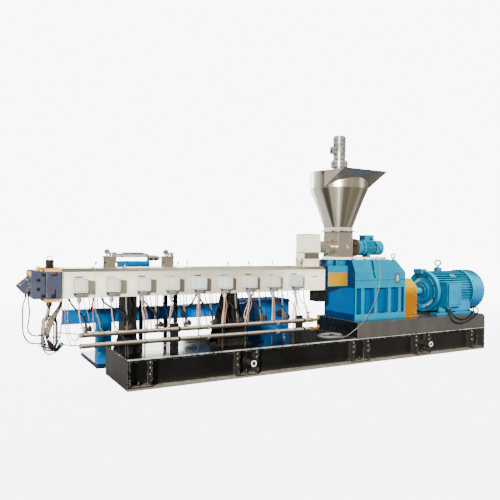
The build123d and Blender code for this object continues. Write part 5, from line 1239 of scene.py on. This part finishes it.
def water_details():
    """Door hardware and vents of the water cabinet, bolts of its beam and post, and the return hoses."""
    metal, dark = bmesh.new(), bmesh.new()
    place, _ = touch("water_cabinet", (-0.12, 0.5, 0.45), ACROSS)
    front = place.y
    slab(metal, (-0.150, front - 0.012, 0.400), (-0.110, front + 0.002, 0.520), 0.006, 3)
    slab(metal, (-0.138, front - 0.030, 0.455), (-0.124, front - 0.010, 0.510), 0.005, 3)
    for z in (0.20, 0.66):
        slab(metal, (-0.830, front - 0.010, z - 0.035), (-0.800, front + 0.002, z + 0.035), 0.004)
    for row in range(7):
        z = 0.20 + 0.022 * row
        slab(dark, (-0.640, front - 0.005, z), (-0.340, front + 0.002, z + 0.010))
    back = touch("water_cabinet", (-0.45, 1.6, 0.4), (0, -1, 0))[0].y
    for row in range(9):
        z = 0.30 + 0.030 * row
        slab(dark, (-0.650, back - 0.002, z), (-0.240, back + 0.004, z + 0.014))
    union = (52, -2, 52, 12, 34, 16, 34, 60, 44, 62, 44, 80, 0, 84)
    turned(dark, (-0.223, front, 0.585), (0, -1, 0), union, 22)
    union = (36, -2, 36, 12, 22, 16, 22, 50, 30, 52, 30, 64, 0, 68)
    turned(dark, (-0.564, front, 0.540), (0, -1, 0), union)
    mesh_piece("cabinet_metal", metal, "plug_grey", "zinc")
    mesh_piece("cabinet_dark", dark, "black_plastic")
    bm = bmesh.new()
    places = product((-3.36, -3.05, -2.40, -1.80, -1.20), (0.5,), (0.735, 0.640))
    bolts_on(bm, "water_beam", places, ACROSS, 0.011)
    low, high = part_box("water_post")
    places = product((low[0] + 0.03, high[0] - 0.03), (0.5,), (0.45, 0.20))
    bolts_on(bm, "water_post", places, ACROSS, 0.010)
    mesh_piece("beam_bolts", bm, "blue_paint", "zinc")
    hoses = [
        [
            (x, 0.10, 1.060), (x, 0.12, 1.000), (x + 0.02, 0.24, 0.900), (x + 0.05, 0.45, 0.800),
            (x + 0.06, 0.66, 0.770), (x + 0.06, 0.775, 0.768), (x + 0.06, 0.800, 0.768),
        ]
        for x in (-3.20, -2.75, -1.90, -1.30, -1.05)
    ]
    wires("return_hoses", hoses, 0.011, "cable_black", fine=3)


def tube_details():
    """Unions on the water tubes, and the small valve and hose at the upper tube's end."""
    bm = bmesh.new()
    for height in (TUBE_HIGH, TUBE_LOW):
        for x in (-1.95, -0.96):
            turned(bm, (x, TUBE_Y, height), ALONG, (26.2, 0, 30.5, 1, 30.5, 30, 26.2, 31), 24)
        turned(bm, (-3.438, TUBE_Y, height), ALONG, (26.2, 0, 29, 1, 29, 16, 26.2, 17), 24)
    mesh_piece("tube_unions", bm, "tube_steel", "zinc")
    bm = bmesh.new()
    valve = (16, 0, 16, 14, 11, 16, 11, 30, 19, 34, 19, 56, 8, 60, 8, 74, 0, 74)
    turned(bm, (-3.400, TUBE_Y, TUBE_HIGH + 0.018), UP, valve, 16)
    slab(bm, (-3.446, TUBE_Y - 0.006, 0.700), (-3.394, TUBE_Y + 0.006, 0.708))
    mesh_piece("drain_valve", bm, "plug_grey")
    curl = metres(
        (-3400, -320, 640), (-3380, -324, 650), (-3366, -320, 690), (-3372, -316, 732), (-3382, -320, 755),
    )
    wires("drain_hose", [curl], 0.0115, "cast_brown", fine=3)


def feed_details():
    """Clamps, gasket and strips of the side feed port, a darker sheet that paints the shade on its lower
    front, and the trim of the feeder's box.
    """
    bm, dark = bmesh.new(), bmesh.new()
    for x, y in product((-0.362, -0.300, -0.210, -0.148), (-0.102, 0.102)):
        bolt(bm, (x, y, 1.4440), UP, 0.007)
    slab(bm, (-0.386, -0.1035, 1.526), (-0.104, 0.1035, 1.537), 0.002)
    slab(bm, (-0.386, -0.1030, 1.782), (-0.104, 0.1030, 1.791), 0.002)
    for y in (-0.060, 0.060):
        slab(bm, (-0.405, y - 0.010, 1.395), (-0.380, y + 0.010, 1.455), 0.004)
        turned(bm, (-0.392, y, 1.372), UP, (7, 0, 7, 30, 0, 30), 12)
        turned(dark, (-0.392, y, 1.362), UP, (0, 0, 12, 1, 14, 8, 10, 16, 0, 18), 14)
    arm = metres((-392, -92, 1430), (-430, -110, 1400), (-462, -118, 1372), (-476, -120, 1356))
    wires("port_lever", [arm], 0.006, "tube_steel", "zinc", fine=3)
    # A darker sheet paints the shade band on the port's lower front.
    slab(dark, (-0.3795, -0.1012, 1.446), (-0.1300, -0.0990, 1.525), 0.001, 1)
    mesh_piece("port_trim", bm, "hopper_steel")
    mesh_piece("port_dark", dark, "hopper_steel", "port_shade_sheet")

    bm = bmesh.new()
    for x, y in product((0.157, 0.413), (-0.170, 0.170)):
        slab(bm, (x - 0.004, y - 0.004, 1.476), (x + 0.004, y + 0.004, 1.838), 0.0015)
    places = product((0.170, 0.228, HOPPER_X, 0.342, 0.400), (-0.174, 0.174), (1.60,))
    bolts_on(bm, "feeder_base", places, DOWN, 0.006)
    places = product((0.50, 0.70, 0.90, 1.02), (-0.150, 0.150), (1.60,))
    bolts_on(bm, "feeder_base", places, DOWN, 0.009)
    turned(bm, (-0.107, 0, FEEDER_Z), ALONG, (86.5, 0, 102, 1, 102, 12, 86.5, 13), 36)
    turned(bm, (0.157, 0, FEEDER_Z), (-1, 0, 0), (86.5, 0, 104, 1, 104, 14, 86.5, 15), 36)
    for place in ring_of((0.142, 0, FEEDER_Z), ACROSS, UP, 0.095, 8, 0.4):
        bolt(bm, place, (-1, 0, 0), 0.005, washer=False)
    mesh_piece("feeder_trim", bm, "hopper_steel")
    bm = bmesh.new()
    turned(bm, (HOPPER_X, -0.1705, 1.600), (0, -1, 0), (60, -2, 60, 2, 52, 4, 0, 4), 30)
    mesh_piece("inspection_disc", bm, "hopper_steel")


def on_shell(turn, height):
    """A place on the hopper's outside, seen from far out at an angle round its axis."""
    way = Vector((cos(turn), sin(turn), 0))
    return touch("hopper_shell", Vector((HOPPER_X, 0, height)) + way * 1.2, -way)[0]


def hopper_details():
    """Bolts and weld lines of the hopper, and the stirrer's gland."""
    bm = bmesh.new()
    places = product((0.165, 0.225, HOPPER_X, 0.345, 0.405), (-0.182, 0.182), (2.05,))
    bolts_on(bm, "hopper_shell", places, DOWN, 0.007)
    places = product((HOPPER_X - 0.138, HOPPER_X + 0.138), (-0.12, -0.04, 0.04, 0.12), (2.05,))
    bolts_on(bm, "hopper_shell", places, DOWN, 0.007)
    bolts_on(bm, "stirrer_motor", ring_of((HOPPER_X, 0, 2.95), ALONG, ACROSS, 0.108, 8, 0.39), DOWN, 0.009)
    bolts_on(bm, "hopper_lid", ring_of((HOPPER_X, 0, 2.80), ALONG, ACROSS, 0.38, 16, 0.2), DOWN, 0.008)
    mesh_piece("hopper_bolts", bm, "hopper_steel", "zinc")
    heights = (2.640, 2.560, 2.480, 2.440, 2.300, 2.160, 2.020, 1.935)
    seams = [[on_shell(turn, height) for height in heights] for turn in (-2.30, -1.30, -0.55, 0.6, 1.8)]
    seams.append([on_shell(2 * pi * n / 36, 2.452) for n in range(37)])
    seams = [[place for place in seam if place is not None] for seam in seams]
    wires("hopper_welds", [seam for seam in seams if len(seam) > 3], 0.0030, "hopper_steel", "zinc", 2, 3)
    bm = bmesh.new()
    turned(bm, (0.136, 0.0, 2.999), (-1, 0, 0), (0, -12, 13, -12, 15, 0, 13, 10, 0, 12), 16)
    mesh_piece("stirrer_gland", bm, "black_plastic")


def feeder_motor_details():
    """Bolts and cowl grille of the feeder's gear motor, and the screws of its box."""
    bm = bmesh.new()
    bolts_on(bm, "feeder_bell", ring_of((0.300, 0, FEEDER_Z), ACROSS, UP, 0.112, 8, 0.39), ALONG, 0.009)
    bolts_on(bm, "feeder_motor", ring_of((0.560, 0, FEEDER_Z), ACROSS, UP, 0.100, 8, 0.39), ALONG, 0.008)
    bolts_on(bm, "feeder_motor", product((0.757, 0.901), (-0.046, 0.046), (1.95,)), DOWN, 0.006, screw)
    bolts_on(bm, "feeder_motor", product((0.775, 0.885), (-0.4,), (1.770,)), ACROSS, 0.0055, screw)
    mesh_piece("feeder_bolts", bm, "blue_paint", "zinc")
    bm = bmesh.new()
    for place in ring_of((1.095, 0, FEEDER_Z), ACROSS, UP, 0.075, 12):
        turned(bm, place - Vector((0.004, 0, 0)), ALONG, (0, 0, 10, 0, 10, 4.2, 0, 4.2), 12)
    mesh_piece("feeder_grille", bm, "black_plastic")


def gearbox_details():
    """Split line, bolts and breathers of the gearbox, its bare yellow plate and the hooked pipe."""
    bm = bmesh.new()
    places = product((0.400, 0.599, 0.855, 1.090, 1.245), (-0.331, 0.331), (0.95,))
    bolts_on(bm, "gearbox_casing", places, DOWN, 0.017)
    places = product((0.40, 0.62, 0.84, 1.06), (-0.20, 0.20), (1.9,))
    bolts_on(bm, "gearbox_casing", places, DOWN, 0.014)
    places = product((-0.5,), (-0.155, 0.0, 0.155), (1.30, 1.10))
    bolts_on(bm, "output_housing", places, ALONG, 0.012)
    mesh_piece("gearbox_bolts", bm, "drive_blue", "dark_steel")
    seams = [[(x, side * 0.3510, 1.147) for x in (0.322, 0.80, 1.288)] for side in SIDES]
    wires("gearbox_split", seams, 0.0022, "drive_blue", "navy_paint", 1, 2)
    hose = metres(
        (690, -262, 1442), (689, -276, 1440), (682, -300, 1405), (668, -336, 1330), (662, -352, 1275),
        (664, -353, 1230), (690, -352, 1180),
    )
    wires("gearbox_hose", [hose], 0.0085, "cable_black", "navy_paint", fine=3)

    bm = bmesh.new()
    slab(bm, (-0.032, -0.1950, 1.066), (0.300, -0.1895, 1.256), 0.0022)
    mesh_piece("bare_nameplate", bm, "guard_yellow", "plate_yellow")
    bm = bmesh.new()
    for x, z in product((-0.020, 0.288), (1.078, 1.244)):
        screw(bm, (x, -0.1950, z), (0, -1, 0), 0.006)
    mesh_piece("nameplate_rivets", bm, "guard_yellow", "zinc")
    hook = metres(
        (-94, -100, 1335), (-94, -100, 1372), (-90, -100, 1400), (-70, -100, 1410.5), (-40, -100, 1411),
        (-6, -100, 1411),
    )
    wires("hooked_pipe", [hook], 0.010, "blue_paint", "navy_paint", fine=4, steps=8)
    bm = bmesh.new()
    for start in ((0.52, 0.05, 1.9), (1.16, 0.10, 1.9)):
        spot, _ = touch("gearbox_casing", start, DOWN)
        turned(bm, spot, UP, (20, 0, 20, 8, 12, 10, 12, 22, 18, 24, 16, 38, 0, 41), 18)
    mesh_piece("breathers", bm, "fitting_brass")
    bm = bmesh.new()
    slab(bm, (1.098, -0.3662, 1.130), (1.137, -0.3615, 1.212), 0.002)
    mesh_piece("gauge_level", bm, "clear", "water_glass")


def guard_details():
    """Side and foot bolts of the coupling guard, and its two feet."""
    bm = bmesh.new()
    for x, side in product((1.315, 1.655), SIDES):
        starts = [(x, side * 0.5, 0.62), (x, side * 0.5, 0.88)]
        bolts_on(bm, "coupling_guard", starts, (0, -side, 0), 0.010)
        place, _ = touch("drive_plinth", (x, side * 0.245, 1.0), DOWN)
        bolt(bm, place, UP, 0.012)
    mesh_piece("guard_bolts", bm, "guard_yellow", "zinc")
    bm = bmesh.new()
    for y in (-0.240, 0.240):
        slab(bm, (1.291, y - 0.028, 0.5705), (1.679, y + 0.028, 0.5765), 0.002, 1)
    mesh_piece("guard_feet", bm, "guard_yellow")


def motor_details():
    """Lid, nameplate, bell bolts, foot bolts and cowl rim of the drive motor."""
    bm = bmesh.new()
    bolts_on(bm, "motor_end_bell", ring_of((1.50, 0, MOTOR_Z), ACROSS, UP, 0.262, 8, 0.39), ALONG, 0.016)
    bolts_on(bm, "motor_end_bell", ring_of((1.75, 0, MOTOR_Z), ACROSS, UP, 0.085, 6, 0.2), ALONG, 0.009)
    bolts_on(bm, "motor_frame", product((2.03, 2.40, 2.78), (-0.325, 0.325), (0.68,)), DOWN, 0.018)
    for turn in (0.5, 1.2, 1.95, 2.65, 3.6, 5.8):
        way = Vector((0, cos(turn), sin(turn)))
        bolts_on(bm, "motor_cowl", [Vector((2.862, 0, MOTOR_Z)) + way * 0.6], -way, 0.008)
    mesh_piece("motor_bolts", bm, "motor_blue", "dark_steel")
    bm = bmesh.new()
    slab(bm, (2.128, -0.4760, 0.735), (2.362, -0.4655, 1.055), 0.008, 4)
    mesh_piece("motor_lid_panel", bm, "motor_blue")
    bm = bmesh.new()
    places = product((2.116, 2.374), (-0.8,), (0.720, 0.895, 1.070))
    bolts_on(bm, "motor_terminal_box", places, ACROSS, 0.008, screw)
    mesh_piece("motor_lid_screws", bm, "motor_blue", "zinc")

    bm = bmesh.new()
    slab(bm, (-0.055, -0.030, 0), (0.055, 0.030, 0.004), 0.001)
    turn = radians(128)
    out = Vector((0, cos(turn), sin(turn)))
    basis = Matrix((ALONG, (0, sin(turn), -cos(turn)), out)).transposed().to_4x4()
    bm.transform(Matrix.Translation(Vector((2.50, 0, MOTOR_Z)) + out * 0.3235) @ basis)
    mesh_piece("motor_nameplate", bm, "motor_blue", "bare_plate")
    bm = bmesh.new()
    turned(bm, (2.828, 0, MOTOR_Z), ALONG, (338, 0, 342.5, 1, 342.5, 22, 338, 24), 72)
    mesh_piece("cowl_band", bm, "motor_blue")


base_details()
cover_details()
box_details()
harness()
die_details()
hank_details()
vent_details()
vacuum_details()
water_details()
tube_details()
feed_details()
hopper_details()
feeder_motor_details()
gearbox_details()
guard_details()
motor_details()

# Studio


def aimed(name, data, aim):
    light = bpy.data.objects.new(name, data)
    bpy.context.scene.collection.objects.link(light)
    light.rotation_euler = Vector(aim).to_track_quat("-Z", "Y").to_euler()
    return light


def area_light(name, place, target, size, power):
    data = bpy.data.lights.new(name, "AREA")
    data.size = size
    data.energy = power
    data.color = (1, 1, 1)
    aimed(name, data, Vector(target) - Vector(place)).location = place


def make_studio():
    """White to the camera, a darker room to the metal, a low key light from the left and soft fills."""
    world = bpy.data.worlds.new("studio")
    bpy.context.scene.world = world
    world.use_nodes = True
    tree = world.node_tree
    background = tree.nodes["Background"]
    seen = tree.nodes.new("ShaderNodeLightPath").outputs["Is Camera Ray"]
    way = tree.nodes.new("ShaderNodeSeparateXYZ")
    tree.links.new(tree.nodes.new("ShaderNodeTexCoord").outputs["Generated"], way.inputs[0])
    room = tree.nodes.new("ShaderNodeMapRange")
    room.interpolation_type = "SMOOTHSTEP"
    for socket, value in zip(room.inputs[1:5], (-0.05, 0.75, 0.06, 0.27)):
        socket.default_value = value
    tree.links.new(way.outputs[2], room.inputs[0])
    strength = tree.nodes.new("ShaderNodeMapRange")
    strength.inputs[4].default_value = 9.0
    tree.links.new(seen, strength.inputs[0])
    tree.links.new(room.outputs[0], strength.inputs[3])
    tree.links.new(strength.outputs[0], background.inputs["Strength"])
    background.inputs["Color"].default_value = (1, 1, 1, 1)

    data = bpy.data.lights.new("key", "SUN")
    data.energy = 14.0
    data.angle = radians(5)
    data.color = (1.0, 0.97, 0.92)
    aimed("key", data, (0.112, 0.12, -0.036))
    area_light("top", (0.0, -1.5, 6.0), (0, 0, 0.8), 4.0, 150)
    area_light("right", (7.0, -4.0, 3.0), (1.5, 0, 1.0), 3.0, 130)
    area_light("back", (-1.0, 7.0, 2.6), (0, 0, 0.8), 4.0, 700)


def make_floor():
    """A wide grey floor that glows pale where the camera sees it."""
    reach = 60
    corners = [(-reach, -reach, 0), (reach, -reach, 0), (reach, reach, 0), (-reach, reach, 0)]
    mesh = bpy.data.meshes.new("floor")
    mesh.from_pydata(corners, [], [(0, 1, 2, 3)])
    floor = bpy.data.objects.new("floor", mesh)
    bpy.context.scene.collection.objects.link(floor)
    g = Graph("floor_white")
    g.shader.inputs["Base Color"].default_value = (0.17, 0.17, 0.17, 1)
    g.shader.inputs["Roughness"].default_value = 0.9
    g.shader.inputs["Emission Color"].default_value = (1, 1, 1, 1)
    distance = g.add("VectorMath")
    distance.operation = "LENGTH"
    g.put(distance.inputs[0], g.coords)
    glow = g.ease(distance.outputs["Value"], 4.5, 12.0, 6.6, 9.0)
    seen = g.add("LightPath").outputs["Is Camera Ray"]
    g.put(g.shader.inputs["Emission Strength"], g.times(glow, seen))
    floor.data.materials.append(g.material)


make_studio()
make_floor()
